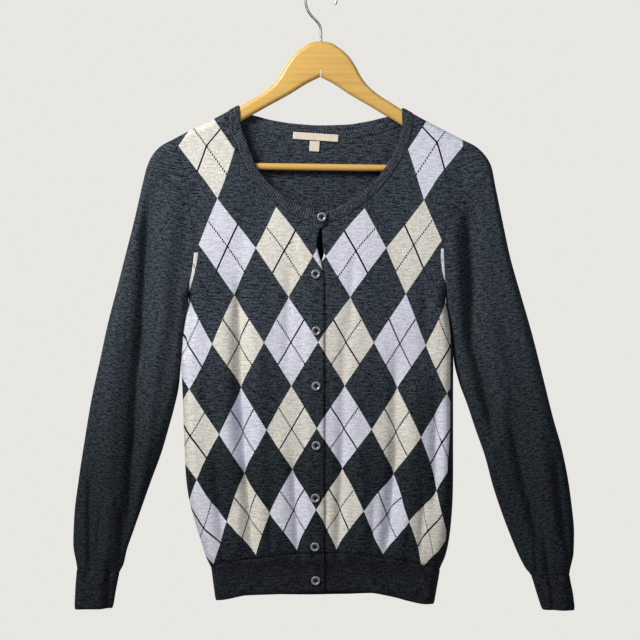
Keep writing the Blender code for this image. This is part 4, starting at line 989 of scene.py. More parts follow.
def sleeve(side, name):
    """One sleeve as a closed tube of cloth, open at both ends."""
    turns = np.arange(SLEEVE_ROUND) / SLEEVE_ROUND
    positions = np.linspace(0.0, 1.0, SLEEVE_ALONG + 1) ** SLEEVE_CROWDING * CUFF_ROW
    points, ring_normals = sleeve_points(side, positions, turns)
    normals = grid_normals(points, points - points.mean(axis=1, keepdims=True), True)
    blend = np.clip(positions / SEWN_REACH, 0.0, 1.0)[:, None, None]
    normals = unit(ring_normals[None] * (1 - blend) + normals * blend)
    thickness = CLOTH * rolled(len(positions))[:, None]
    lean = math.radians(SLEEVE_LEAN) * side
    place = cloth_place(points)
    place[..., 1] = points[..., 0] * math.sin(lean) - points[..., 2] * math.cos(lean)
    return wall(name, points, normals, thickness, True, {"cloth": place})


sleeve_right = sleeve(-1, "knit_sleeve_right")
sleeve_left = sleeve(1, "knit_sleeve_left")

# %% [markdown]
# ## Cuffs
# A cuff goes on from the sleeve's last sections in the same fine rib as the hem. Its ribs are spaced evenly
# along the cloth, not by angle, because a flattened ring would bunch them up at its turns.

# %% Cuffs
CUFF_FULLNESS = 1.15  # half the way round a cuff, as a share of its flat width


def cuff(side, name):
    """One ribbed cuff as a closed tube."""
    table = SLEEVE_RIGHT if side < 0 else SLEEVE_LEFT
    x_in, z_in, x_out, z_out = table[CUFF_ROW][:4]
    ribs = 2 * int(round(math.hypot(x_out - x_in, z_out - z_in) * CUFF_FULLNESS / FINE_PITCH))
    count = ribs * FINE_SAMPLES
    fine = np.linspace(0.0, 1.0, 2001)
    positions = CUFF_ROW + np.linspace(0.0, 1.0, FINE_ROWS + 1) * (len(table) - 1 - CUFF_ROW)
    ring = sleeve_sections(side, positions[:1], fine)[0]
    lengths = lengths_of(ring)
    turns = np.interp(np.arange(count) / count * lengths[-1], lengths, fine)
    points = sleeve_sections(side, positions, turns)
    normals = grid_normals(points, points - points.mean(axis=1, keepdims=True), True)
    return fine_rib_wall(name, points, normals, rib_wave(np.arange(count) / FINE_SAMPLES), True)


cuff_right = cuff(-1, "rib_cuff_right")
cuff_left = cuff(1, "rib_cuff_left")

# %% [markdown]
# ## Buttons
# The buttons are turned from smoky polyester: a raised round rim, a dished middle and four holes with dark
# thread. A half profile spun about its axis gives the turned blank, just as a lathe does.

# %% Button blank
BUTTON_PROFILE = (  # radius share, height
    (0.0, 1.25), (0.3, 1.3), (0.5, 1.5), (0.6, 1.95), (0.7, 2.3), (0.8, 2.38), (0.9, 2.25), (0.97, 1.85),
    (1.0, 1.35), (0.98, 0.9), (0.93, 0.45), (0.86, 0.15), (0.75, 0.0), (0.0, 0.0))
BUTTON_SEGMENTS = 48
HOLE_RADIUS = 0.75
HOLE_REACH = 1.35


def spun(profile, radius, segments):
    """Vertices and faces of a profile spun about Z; the ends are on the axis."""
    vertices = [(0.0, 0.0, profile[0][1])]
    for share, height in profile[1:-1]:
        for s in range(segments):
            angle = 2 * math.pi * s / segments
            vertices.append((radius * share * math.cos(angle), radius * share * math.sin(angle), height))
    vertices.append((0.0, 0.0, profile[-1][1]))
    rings = len(profile) - 2
    faces = [(0, 1 + s, 1 + (s + 1) % segments) for s in range(segments)]
    for r in range(rings - 1):
        for s in range(segments):
            a, b = 1 + r * segments + s, 1 + r * segments + (s + 1) % segments
            faces.append((a, a + segments, b + segments, b))
    last = 1 + (rings - 1) * segments
    faces += [(last + s, len(vertices) - 1, last + (s + 1) % segments) for s in range(segments)]
    return vertices, faces


print("button profile:", len(BUTTON_PROFILE), "points, radius", BUTTON_RADIUS, "mm")

# %% [markdown]
# ## Holes and thread
# Four holes are drilled with Boolean modifiers, one at a time, and each result is kept as a plain mesh. Two
# loops of thread cross between them. They share the button's mesh but take a second material slot.

# %% Drilled and sewn button
THREAD_RADIUS = 0.33
THREAD_SIDES = 8
THREAD_ROUTE = (  # share of the way out to a hole, height
    (-1.0, 0.6), (-0.95, 1.35), (-0.5, 1.75), (0.0, 1.85), (0.5, 1.75), (0.95, 1.35), (1.0, 0.6))


def drill_hole(item, angle):
    """Cut one hole through the blank, at an angle about its middle."""
    drill = [(0.0, -1.0), (HOLE_RADIUS, -1.0), (HOLE_RADIUS, 3.0), (0.0, 3.0)]
    vertices, faces = spun(drill, 1.0, 16)
    aside, up = HOLE_REACH * math.cos(angle), HOLE_REACH * math.sin(angle)
    cutter = made("drill", [(x + aside, y + up, z) for x, y, z in vertices], faces, {})
    modifier = item.modifiers.new("hole", "BOOLEAN")
    modifier.operation = "DIFFERENCE"
    modifier.object = cutter
    bpy.context.view_layer.update()
    graph = bpy.context.evaluated_depsgraph_get()
    drilled = bpy.data.meshes.new_from_object(item.evaluated_get(graph))
    item.modifiers.clear()
    item.data = drilled
    bpy.data.objects.remove(cutter)


def thread_bridge(angle):
    """A short loop of thread between two opposite holes, as a bent tube."""
    vertices = []
    for share, height in THREAD_ROUTE:
        for s in range(THREAD_SIDES):
            turn = 2 * math.pi * s / THREAD_SIDES
            x, y = HOLE_REACH * share, THREAD_RADIUS * math.cos(turn)
            vertices.append((x * math.cos(angle) - y * math.sin(angle),
                             x * math.sin(angle) + y * math.cos(angle),
                             height + THREAD_RADIUS * math.sin(turn)))
    return vertices, tube_faces(len(THREAD_ROUTE), THREAD_SIDES)


def tube_faces(rings, sides):
    """Faces of a tube of rings, closed at both ends."""
    faces = []
    for n in range(rings - 1):
        for s in range(sides):
            a, b = n * sides + s, n * sides + (s + 1) % sides
            faces.append((a, b, b + sides, a + sides))
    return faces + [tuple(range(sides))[::-1], tuple((rings - 1) * sides + s for s in range(sides))]


def button_mesh():
    """The drilled button, with its thread in a second material slot."""
    item = made("button_blank", *spun(BUTTON_PROFILE, BUTTON_RADIUS, BUTTON_SEGMENTS), {})
    for n in range(4):
        drill_hole(item, math.radians(45 + 90 * n))
    body = bmesh.new()
    body.from_mesh(item.data)
    for angle in (math.radians(45), math.radians(135)):
        vertices, faces = thread_bridge(angle)
        corners = [body.verts.new(Vector(v) * MM) for v in vertices]
        for face in faces:
            body.faces.new([corners[i] for i in face]).material_index = 1
    bmesh.ops.recalc_face_normals(body, faces=body.faces)
    mesh = bpy.data.meshes.new("button")
    body.to_mesh(mesh)
    body.free()
    mesh.shade_smooth()
    mesh.set_sharp_from_angle(angle=math.radians(50))
    bpy.data.objects.remove(item)
    return mesh


# %% [markdown]
# ## Eight buttons
# All eight share one mesh, so an edit to it would change them all. Each stands just clear of the cloth,
# faces along the cloth's normal, and is turned a little differently, as sewn-on buttons are.

# %% Eight buttons
BUTTON_GAP = 0.3
BAND_EXTRA = 1.2  # the top button sits on the thicker neckband
BUTTON_TURN = 23.0


def button_seat(x, z, extra):
    """A button's place on the upper front, and the direction that it faces."""
    angles = np.radians(np.arange(9) * 45.0)
    reach = np.array([0.0] + [BUTTON_RADIUS] * 8)
    px = x + reach * np.cos(angles)
    pz = z + reach * np.sin(angles)
    points = body_points(px, pz, False)
    normals = body_normals(points, False)
    faces = points + normals * (lifted(px, pz) + CLOTH + extra)[:, None]
    highest = max(float(np.dot(p - faces[0], normals[0])) for p in faces)
    return Vector(faces[0] + normals[0] * (highest + BUTTON_GAP)), Vector(normals[0])


shared_button = button_mesh()
buttons = []
for number, (x, z) in enumerate(BUTTONS, start=1):
    seat, facing = button_seat(x, z, BAND_EXTRA if number == 1 else 0.0)
    item = bpy.data.objects.new("button_turned_%d" % number, shared_button)
    bpy.context.scene.collection.objects.link(item)
    spin = Matrix.Rotation(math.radians(BUTTON_TURN * number), 4, "Z")
    facing_turn = facing.to_track_quat("Z", "Y").to_matrix().to_4x4()
    item.matrix_world = Matrix.Translation(seat * MM) @ facing_turn @ spin
    buttons.append(item)
print("buttons:", len(buttons), "of", len(shared_button.polygons), "faces")

# %% [markdown]
# ## Label and size tab
# A woven satin strip is sewn to the inside of the back, with a small tab hanging from its middle. Both are
# left bare. They follow the back's inner face and stand off by a hair.

# %% Label strips
LABEL_TILT = math.radians(-3.8)
LABEL_WALL = 0.7
LABEL_GAP = 0.4
LABEL_RIPPLE = 0.25


def label_strip(name, place, size, columns, rows):
    """A flat strip that follows the back's inner face, with a slight wave."""
    across, down = np.meshgrid((np.linspace(0, 1, columns + 1) - 0.5) * size[0],
                               (0.5 - np.linspace(0, 1, rows + 1)) * size[1])
    x = place[0] + across * math.cos(LABEL_TILT) - down * math.sin(LABEL_TILT)
    z = place[1] + across * math.sin(LABEL_TILT) + down * math.cos(LABEL_TILT)
    points = body_points(x, z, True)
    inward = -body_normals(points, True)
    wave = LABEL_RIPPLE * np.sin(across / size[0] * 9.0) * (0.5 - down / size[1])
    points = points + inward * (LABEL_GAP + np.abs(wave))[..., None]
    spread = np.stack([across, down, 0 * down], axis=-1)
    return wall(name, points, inward, LABEL_WALL, False, {"cloth": spread})


label = label_strip("label_strip", (-6.5, -191.0), (57.0, 9.0), 48, 12)
tab = label_strip("label_tab", (-8.0, -202.8), (12.5, 13.0), 16, 16)

# %% [markdown]
# ## The hanger
# The shoulders are sawn from pale beech and rounded over, so they are a flat outline with a full round on
# its edges. A curve with a bevel makes that directly. The crown has a saw cut below, under the hook.

# %% Hanger sizes
WOOD = 12.0
EDGE_FLAT = 0.6
CROWN_TOP = -71.5
HANGER_TILT = math.radians(0.75)
BAR_RADIUS = 4.4
BAR_HEIGHT = -229.5
BAR_HALF = 176.0
WIRE_RADIUS = 1.6
HOOK_RADIUS = 19.5
HOOK_SWEEP = 204.0
HOOK_STEM = (
    (0.0, -88.5), (0.0, -71.5), (0.0, -60.0), (-1.2, -52.5), (-6.5, -45.5), (-12.5, -39.0), (-17.0, -31.5),
    (-19.0, -24.5))
HANGER_OUTLINE = (  # x, z
    (0.0, -71.5), (12.0, -73.5), (24.0, -80.5), (35.0, -90.0), (44.0, -103.0), (51.5, -116.5),
    (61.0, -128.0), (74.0, -138.5), (91.0, -149.0), (101.5, -155.6), (120.0, -166.4), (150.0, -182.0),
    (174.0, -194.4), (185.0, -202.0), (191.5, -211.5), (193.0, -222.0), (190.5, -232.5), (184.0, -239.0),
    (175.0, -240.0), (168.0, -235.0), (163.5, -226.0), (158.0, -216.0), (148.0, -206.5),
    (128.0, -193.0), (100.0, -174.5), (68.0, -155.5), (38.0, -138.5), (16.0, -124.5), (0.0, -116.5))
OUTLINE_POINTS = 220
SAW_CUT = (0.9, 20.0, 13.0)
SAW_CUT_HEIGHT = -112.0
print("hanger outline:", len(HANGER_OUTLINE), "points on one half, bar", 2 * BAR_HALF, "mm long")

# %% [markdown]
# ## From a curve to a mesh
# A filled 2D curve is quick to round over, but only a mesh can be cut and exported. So the curve is read
# back from the dependency graph as it looks with its bevel, welded, and put in place of the curve.

# %% Outline, bevel and mesh
def tilt(item):
    """Turn a piece of the hanger about the crown, as it hangs a little lower on the left."""
    pivot = Vector((0.0, 0.0, CROWN_TOP * MM))
    turn = Matrix.Translation(pivot) @ Matrix.Rotation(HANGER_TILT, 4, "Y") @ Matrix.Translation(-pivot)
    item.matrix_world = turn @ item.matrix_world
    return item


def smooth_line(points, count):
    """Evenly spaced points on a smooth line through the given ones, and their distances."""
    line = np.array(points)
    distance = lengths_of(line)
    steps = np.linspace(0.0, distance[-1], count)
    return np.stack([monotone(distance, line[:, c], steps) for c in range(2)], axis=-1), steps


def smooth_outline(points, count):
    """A closed outline through the points, mirrored in X."""
    right = smooth_line(points, count)[0].tolist()
    return right[:-1] + [(-a, b) for a, b in right[:0:-1]]


def bevelled_outline(name, outline, thickness):
    """A flat outline filled and rounded over on both faces, as a mesh."""
    curve = bpy.data.curves.new(name, "CURVE")
    curve.dimensions = "2D"
    curve.fill_mode = "BOTH"
    rounding = thickness / 2 - EDGE_FLAT
    curve.bevel_depth = rounding * MM
    curve.extrude = EDGE_FLAT * MM
    curve.offset = -rounding * MM
    curve.bevel_resolution = 7
    spline = curve.splines.new("POLY")
    spline.points.add(len(outline) - 1)
    for point, (x, z) in zip(spline.points, outline):
        point.co = (x * MM, z * MM, 0.0, 1.0)
    spline.use_cyclic_u = True
    item = bpy.data.objects.new(name, curve)
    item.matrix_world = Matrix.Rotation(math.radians(90), 4, "X")
    return as_mesh(item, name)


def as_mesh(item, name):
    """The shape of a curve or of an object with modifiers, as a mesh object in place."""
    if item.name not in bpy.context.scene.collection.objects:
        bpy.context.scene.collection.objects.link(item)
    bpy.context.view_layer.update()
    graph = bpy.context.evaluated_depsgraph_get()
    mesh = bpy.data.meshes.new_from_object(item.evaluated_get(graph))
    mesh.transform(item.matrix_world)
    body = bmesh.new()
    body.from_mesh(mesh)
    bmesh.ops.remove_doubles(body, verts=body.verts, dist=0.00001)
    bmesh.ops.recalc_face_normals(body, faces=body.faces)
    body.to_mesh(mesh)
    body.free()
    bpy.data.objects.remove(item)
    result = bpy.data.objects.new(name, mesh)
    bpy.context.scene.collection.objects.link(result)
    return result


# %% [markdown]
# ## Shoulders and bar
# The bar is a turned rod. Its ends are hidden inside the wood, so no sockets are cut for them here. The saw
# cut is a Boolean cut by a thin block, as the maker's blade would leave it.

# %% Wooden shoulders and trouser bar
def rod(name, radius, half_length, centre_z, segments):
    """A turned bar along X with softly rounded ends."""
    before_end = half_length - 0.6
    profile = [(-half_length, 0.0), (-half_length, 0.85), (-before_end, 1.0), (before_end, 1.0),
               (half_length, 0.85), (half_length, 0.0)]
    vertices, faces = spun([(share, along_x) for along_x, share in profile], radius, segments)
    return made(name, [(z, y, x + centre_z) for x, y, z in vertices], faces, {})


def block(name, size, centre_z):
    """A square block round the Z axis."""
    corners = [(sx * size[0] / 2, sy * size[1] / 2, centre_z + sz * size[2] / 2)
               for sx in (-1, 1) for sy in (-1, 1) for sz in (-1, 1)]
    faces = [(0, 1, 3, 2), (4, 6, 7, 5), (0, 4, 5, 1), (2, 3, 7, 6), (0, 2, 6, 4), (1, 5, 7, 3)]
    return made(name, corners, faces, {})


def cut_with(item, cutter):
    """The item with the cutter taken out of it."""
    modifier = item.modifiers.new("cut", "BOOLEAN")
    modifier.operation = "DIFFERENCE"
    modifier.object = cutter
    result = as_mesh(item, item.name + "_wood")
    bpy.data.objects.remove(cutter)
    return result


shoulders = bevelled_outline("hanger", smooth_outline(HANGER_OUTLINE, OUTLINE_POINTS), WOOD)
shoulders = cut_with(shoulders, block("saw_cut", SAW_CUT, SAW_CUT_HEIGHT))
shoulders.data.shade_smooth()
shoulders.data.set_sharp_from_angle(angle=math.radians(40))
tilt(shoulders)
bar = tilt(rod("hanger_rod", BAR_RADIUS, BAR_HALF, BAR_HEIGHT, 48))
bar.data.set_sharp_from_angle(angle=math.radians(40))
print("hanger:", len(shoulders.data.polygons), "faces")

# %% [markdown]
# ## The hook
# The hook is one steel wire, bent aside above the crown and over in a plain arc. It is a round tube along a
# smooth line of points.

# %% Wire hook
WIRE_SIDES = 24
WIRE_RINGS = 160
ARC_STEPS = 40


def wire(name, route, radius):
    """A round wire along points in the XZ plane, closed with rounded ends."""
    points, steps = smooth_line(route, WIRE_RINGS)
    heading = unit(np.gradient(points, axis=0))
    side = np.stack([-heading[:, 1], heading[:, 0]], axis=-1)
    vertices = []
    for point, across, step in zip(points, side, steps):
        near_end = min(step, steps[-1] - step) / radius
        size = radius * math.sqrt(1 - (1 - min(1.0, near_end + 0.15)) ** 2)
        for s in range(WIRE_SIDES):
            angle = 2 * math.pi * s / WIRE_SIDES
            offset = across * size * math.cos(angle)
            vertices.append((point[0] + offset[0], size * math.sin(angle), point[1] + offset[1]))
    return made(name, vertices, tube_faces(len(points), WIRE_SIDES), {})


hook_route = list(HOOK_STEM)
arc_height = WIRE_RADIUS - HOOK_RADIUS
for n in range(ARC_STEPS + 1):
    angle = math.radians(180.0 - HOOK_SWEEP * n / ARC_STEPS)
    hook_route.append((HOOK_RADIUS * math.cos(angle), arc_height + HOOK_RADIUS * math.sin(angle)))
hook = wire("hook_wire", hook_route, WIRE_RADIUS)
print("hook:", len(hook.data.polygons), "faces")

# %% [markdown]
# ## Materials
# Every finish is built from nodes. One helper adds a node with its settings and its links, and one turns
# sRGB hex colours into the linear values that a shader works in.

# %% Node helpers
def linear(code):
    """Linear RGBA of an sRGB hex colour."""
    values = [int(code[i:i + 2], 16) / 255 for i in (1, 3, 5)]
    return tuple(v / 12.92 if v <= 0.04045 else ((v + 0.055) / 1.055) ** 2.4 for v in values) + (1.0,)


def add(tree, kind, settings, inputs):
    """One node with its settings and its inputs, each a number, a colour or another node's socket."""
    new = tree.nodes.new(kind)
    for key, value in settings.items():
        setattr(new, key, value)
    for key, value in inputs.items():
        if isinstance(value, bpy.types.NodeSocket):
            tree.links.new(value, new.inputs[key])
        else:
            new.inputs[key].default_value = value
    return new


def material(name):
    """An empty material and its tree and shader."""
    made_material = bpy.data.materials.new(name)
    made_material.use_nodes = True
    tree = made_material.node_tree
    return made_material, tree, tree.nodes["Principled BSDF"]


print("middle grey in linear light:", round(linear("#808080")[0], 3))

# %% [markdown]
# ## Wool yarn
# The cloth is worsted wool, dyed in the fleece. Dark and pale fibres are spun together, so charcoal yarn is
# a heather of near black and grey flecks that run with the courses. Noise nodes give flecks and streaks,
# and two sine waves the stitches. Real stitches are about 1.7 mm wide and 1.3 mm high at this gauge, which
# is about one pixel here. They are drawn as coarse as they need to show, about twice the real size.

# %% Flecks, streaks and stitches
WALE = 3.1
COURSE = 2.7
FLECK = (2.8, 1.6)
STREAK = (11.0, 2.0)


def yarn_fields(tree):
    """Sockets of the flecks, the streaks and the stitch relief, from the cloth attribute in millimetres."""
    place = add(tree, "ShaderNodeAttribute", {"attribute_name": "cloth"}, {}).outputs["Vector"]
    fleck_size = (1.0 / FLECK[0], 1.0 / FLECK[1], 1.0)
    fleck_place = add(tree, "ShaderNodeVectorMath", {"operation": "MULTIPLY"},
                      {0: place, 1: fleck_size}).outputs["Vector"]
    flecks = add(tree, "ShaderNodeTexNoise", {},
                 {"Vector": fleck_place, "Scale": 1.0, "Detail": 3.0, "Roughness": 0.65}).outputs["Fac"]
    streak_size = (1.0 / STREAK[0], 1.0 / STREAK[1], 1.0)
    streak_place = add(tree, "ShaderNodeVectorMath", {"operation": "MULTIPLY"},
                       {0: place, 1: streak_size}).outputs["Vector"]
    streaks = add(tree, "ShaderNodeTexNoise", {},
                  {"Vector": streak_place, "Scale": 1.0, "Detail": 2.0, "Roughness": 0.6}).outputs["Fac"]
    parts = add(tree, "ShaderNodeSeparateXYZ", {}, {"Vector": place})
    wales = add(tree, "ShaderNodeMath", {"operation": "MULTIPLY"},
                {0: parts.outputs["X"], 1: 2 * math.pi / WALE})
    wave = add(tree, "ShaderNodeMath", {"operation": "SINE"}, {0: wales.outputs[0]}).outputs[0]
    courses = add(tree, "ShaderNodeMath", {"operation": "MULTIPLY"},
                  {0: parts.outputs["Y"], 1: 2 * math.pi / COURSE})
    step = add(tree, "ShaderNodeMath", {"operation": "SINE"}, {0: courses.outputs[0]}).outputs[0]
    both = add(tree, "ShaderNodeMath", {"operation": "MULTIPLY_ADD"}, {0: step, 1: 0.5, 2: wave}).outputs[0]
    relief = add(tree, "ShaderNodeMath", {"operation": "MULTIPLY_ADD"},
                 {0: flecks, 1: 9.0, 2: both}).outputs[0]
    return flecks, streaks, relief


def heather(tree, flecks, streaks, dark, pale):
    """Colour socket of a mixed yarn."""
    both = add(tree, "ShaderNodeMath", {"operation": "MULTIPLY_ADD"},
               {0: streaks, 1: 0.7, 2: flecks}).outputs[0]
    share = add(tree, "ShaderNodeMapRange", {},
                {"Value": both, "From Min": 0.69, "From Max": 1.01}).outputs[0]
    return add(tree, "ShaderNodeMix", {"data_type": "RGBA"},
               {0: share, 6: linear(dark), 7: linear(pale)}).outputs[2]


print("stitch drawn:", WALE, "x", COURSE, "mm, fleck:", FLECK, "mm")

# %% [markdown]
# ## Wool's surface
# Wool is rough, and its standing fibres scatter light at grazing angles, which a little sheen gives. The
# yarn's crests are rubbed slightly smoother than the hollows between them, so roughness follows the relief.

# %% Matt wool
RELIEF_DEPTH = 0.00005  # metres


def finish_wool(tree, shader, color, relief, strength):
    """Matt, softly sheened wool with its stitch relief."""
    tree.links.new(color, shader.inputs["Base Color"])
    rough = add(tree, "ShaderNodeMapRange", {}, {"Value": relief, "From Min": 3.0, "From Max": 6.5,
                                                 "To Min": 0.97, "To Max": 0.87}).outputs[0]
    tree.links.new(rough, shader.inputs["Roughness"])
    shader.inputs["Specular IOR Level"].default_value = 0.12
    shader.inputs["Sheen Weight"].default_value = 0.04
    shader.inputs["Sheen Roughness"].default_value = 0.4
    bump = add(tree, "ShaderNodeBump", {}, {"Strength": strength, "Distance": RELIEF_DEPTH, "Height": relief})
    tree.links.new(bump.outputs["Normal"], shader.inputs["Normal"])


print("relief of a stitch:", RELIEF_DEPTH / MM, "mm")

# %% [markdown]
# ## Charcoal jersey
# The charcoal is painted darker toward the hem and the cuffs, as painted shade where the cloth hangs away
# from the light, while the pale diamonds stay even. So the yarn's colour is scaled down with height.

# %% Charcoal material
CHARCOAL_DARK = "#12181c"
CHARCOAL_PALE = "#555d67"
# The painted shade on the charcoal begins at the first height below and is deepest at the second.
SHADE_TOP = -0.40  # metres, where the charcoal starts to deepen
SHADE_END = -0.66
SHADE_LEFT = 0.54


def charcoal_heather_with_painted_shade(tree, flecks, streaks):
    """Charcoal yarn colour with painted shade, darker toward the hem and the cuffs."""
    yarn = heather(tree, flecks, streaks, CHARCOAL_DARK, CHARCOAL_PALE)
    place = add(tree, "ShaderNodeTexCoord", {}, {}).outputs["Object"]
    height = add(tree, "ShaderNodeSeparateXYZ", {}, {"Vector": place}).outputs["Z"]
    left = add(tree, "ShaderNodeMapRange", {"interpolation_type": "SMOOTHSTEP"},
               {"Value": height, "From Min": SHADE_END, "From Max": SHADE_TOP,
                "To Min": SHADE_LEFT}).outputs[0]
    return add(tree, "ShaderNodeVectorMath", {"operation": "SCALE"},
               {0: yarn, "Scale": left}).outputs["Vector"]


charcoal, tree, shader = material("charcoal_wool_jersey")
flecks, streaks, relief = yarn_fields(tree)
finish_wool(tree, shader, charcoal_heather_with_painted_shade(tree, flecks, streaks), relief, 0.5)
print("jersey:", charcoal.name, len(tree.nodes), "nodes")

# %% [markdown]
# ## Rib
# Rib is the same charcoal wool. Its furrows lie in shade and its ridges catch the light, which the colours
# paint: the darker furrow colours are painted shade and the paler ridge colours a painted highlight. The fine
# rib of the hem and cuffs is painted darker than the neckband, as painted shade where the garment hangs
# lowest, so each has its own colours. The cloth attribute's Z tells the furrows from the ridges.

# %% Rib materials
def rib_material(name, furrows, ridges):
    """Ribbed wool with painted shade in its furrows and a painted highlight on its ridges."""
    made_material, tree, shader = material(name)
    flecks, streaks, relief = yarn_fields(tree)
    ribbed = add(tree, "ShaderNodeAttribute", {"attribute_name": "cloth"}, {}).outputs["Vector"]
    backs = add(tree, "ShaderNodeSeparateXYZ", {}, {"Vector": ribbed}).outputs["Z"]
    raised = add(tree, "ShaderNodeMapRange", {},
                 {"Value": backs, "From Min": 0.2, "From Max": 0.9}).outputs[0]
    furrow = heather(tree, flecks, streaks, *furrows)
    ridge = heather(tree, flecks, streaks, *ridges)
    color = add(tree, "ShaderNodeMix", {"data_type": "RGBA"}, {0: raised, 6: furrow, 7: ridge}).outputs[2]
    finish_wool(tree, shader, color, relief, 0.35)
    return made_material


# The fine rib's colour pairs are darker than the band's as painted shade at the hem and the cuffs.
band_rib = rib_material("charcoal_wool_rib", ("#0f1216", "#363b42"), ("#1a1f25", "#636974"))
fine_rib = rib_material("charcoal_wool_fine_rib", ("#0b0e10", "#22272b"), ("#111519", "#3f444b"))
print("ribs:", band_rib.name, fine_rib.name)

# %% [markdown]
# ## Argyle diamonds
# The pale diamonds are knitted in with yarns of their own, so their edges follow the stitches. The chart
# attribute carries u and v, counted in diamonds. There u + v and u - v cross a half at a diamond's edges
# and a whole number at the overcheck lines. Rounding both gives the cell, and whether their sum is odd
# tells a pale diamond from the ground.

# %% Cells of the chart
argyle, tree, shader = material("argyle_wool_jersey")
flecks, streaks, relief = yarn_fields(tree)
chart_place = add(tree, "ShaderNodeAttribute", {"attribute_name": "argyle"}, {}).outputs["Vector"]
chart = add(tree, "ShaderNodeSeparateXYZ", {}, {"Vector": chart_place})
u, v, order = chart.outputs["X"], chart.outputs["Y"], chart.outputs["Z"]
half_v = add(tree, "ShaderNodeMath", {"operation": "ADD"}, {0: v, 1: 0.5}).outputs[0]
total = add(tree, "ShaderNodeMath", {"operation": "ADD"}, {0: u, 1: half_v}).outputs[0]
half_u = add(tree, "ShaderNodeMath", {"operation": "ADD"}, {0: u, 1: 0.5}).outputs[0]
spread = add(tree, "ShaderNodeMath", {"operation": "SUBTRACT"}, {0: half_u, 1: v}).outputs[0]
cell_p = add(tree, "ShaderNodeMath", {"operation": "FLOOR"}, {0: total}).outputs[0]
cell_q = add(tree, "ShaderNodeMath", {"operation": "FLOOR"}, {0: spread}).outputs[0]
cells = add(tree, "ShaderNodeMath", {"operation": "ADD"}, {0: cell_p, 1: cell_q}).outputs[0]
odd = add(tree, "ShaderNodeMath", {"operation": "FLOORED_MODULO"}, {0: cells, 1: 2.0}).outputs[0]
print("chart nodes:", len(tree.nodes))

# %% [markdown]
# ## Where the argyle stops
# The pattern ends in plain charcoal above the first row, below the fifth, beside the neck and in the plain
# strip along the closure. Each limit is a comparison that gives 0 or 1, and their product is the area.

# %% Limits of the pattern
below_top = add(tree, "ShaderNodeMath", {"operation": "GREATER_THAN"}, {0: v, 1: 0.0}).outputs[0]
above_hem = add(tree, "ShaderNodeMath", {"operation": "LESS_THAN"}, {0: v, 1: 5.0}).outputs[0]
beside_neck = add(tree, "ShaderNodeMath", {"operation": "MAXIMUM"}, {0: u, 1: v}).outputs[0]
off_neck = add(tree, "ShaderNodeMath", {"operation": "GREATER_THAN"}, {0: beside_neck, 1: 1.0}).outputs[0]
# Near the armpits the strip's plain charcoal is painted shade of the armpit hollows.
strip = add(tree, "ShaderNodeAttribute", {"attribute_name": "strip"}, {}).outputs["Vector"]
strip_x = add(tree, "ShaderNodeSeparateXYZ", {}, {"Vector": strip}).outputs["X"]
in_strip = add(tree, "ShaderNodeMath", {"operation": "GREATER_THAN"}, {0: strip_x, 1: 0.0}).outputs[0]
inside = add(tree, "ShaderNodeMath", {"operation": "MULTIPLY"}, {0: below_top, 1: above_hem}).outputs[0]
inside = add(tree, "ShaderNodeMath", {"operation": "MULTIPLY"}, {0: inside, 1: off_neck}).outputs[0]
inside = add(tree, "ShaderNodeMath", {"operation": "MULTIPLY"}, {0: inside, 1: in_strip}).outputs[0]
pale = add(tree, "ShaderNodeMath", {"operation": "MULTIPLY"}, {0: odd, 1: inside}).outputs[0]
print("nodes with the limits:", len(tree.nodes))

# %% [markdown]
# ## Lavender and cream
# Lavender and cream diamonds take turns in both directions, which the cell's number along one diagonal
# gives. These yarns are nearly even, so their dark and pale fibres are close in colour.

# %% Diamond colours
turn = add(tree, "ShaderNodeMath", {"operation": "ADD"}, {0: cell_p, 1: order}).outputs[0]
creams = add(tree, "ShaderNodeMath", {"operation": "FLOORED_MODULO"}, {0: turn, 1: 2.0}).outputs[0]
lavender = heather(tree, flecks, streaks, "#b9bccd", "#e0e2ee")
cream = heather(tree, flecks, streaks, "#bcb9b3", "#e5e2dc")
diamond = add(tree, "ShaderNodeMix", {"data_type": "RGBA"}, {0: creams, 6: lavender, 7: cream}).outputs[2]
# The charcoal ground carries the same painted shade toward the hem.
ground = charcoal_heather_with_painted_shade(tree, flecks, streaks)
cloth_color = add(tree, "ShaderNodeMix", {"data_type": "RGBA"}, {0: pale, 6: ground, 7: diamond}).outputs[2]
print("nodes with the colours:", len(tree.nodes))

# %% [markdown]
# ## Overcheck
# The thin dark lines cross in the middle of the diamonds. They are single stitches of navy yarn, so a line
# reads as dots where it skips stitches. The one that goes down and outwards is solid, the other dotted, and
# in the lower rows they change places toward the side. On charcoal the navy hardly shows.

# %% Overcheck lines
LINE_SHARE = 0.0145
DOT_SHARE = 0.0175
DOTS = 24.0  # stitches along one diamond


def beaded(tree, on_it, distance, share):
    """A line of single stitches; a share of 1 joins them."""
    beads = add(tree, "ShaderNodeMath", {"operation": "MULTIPLY"}, {0: distance, 1: DOTS}).outputs[0]
    bead = add(tree, "ShaderNodeMath", {"operation": "FRACT"}, {0: beads}).outputs[0]
    shows = add(tree, "ShaderNodeMath", {"operation": "LESS_THAN"}, {0: bead, 1: share}).outputs[0]
    return add(tree, "ShaderNodeMath", {"operation": "MULTIPLY"}, {0: on_it, 1: shows}).outputs[0]


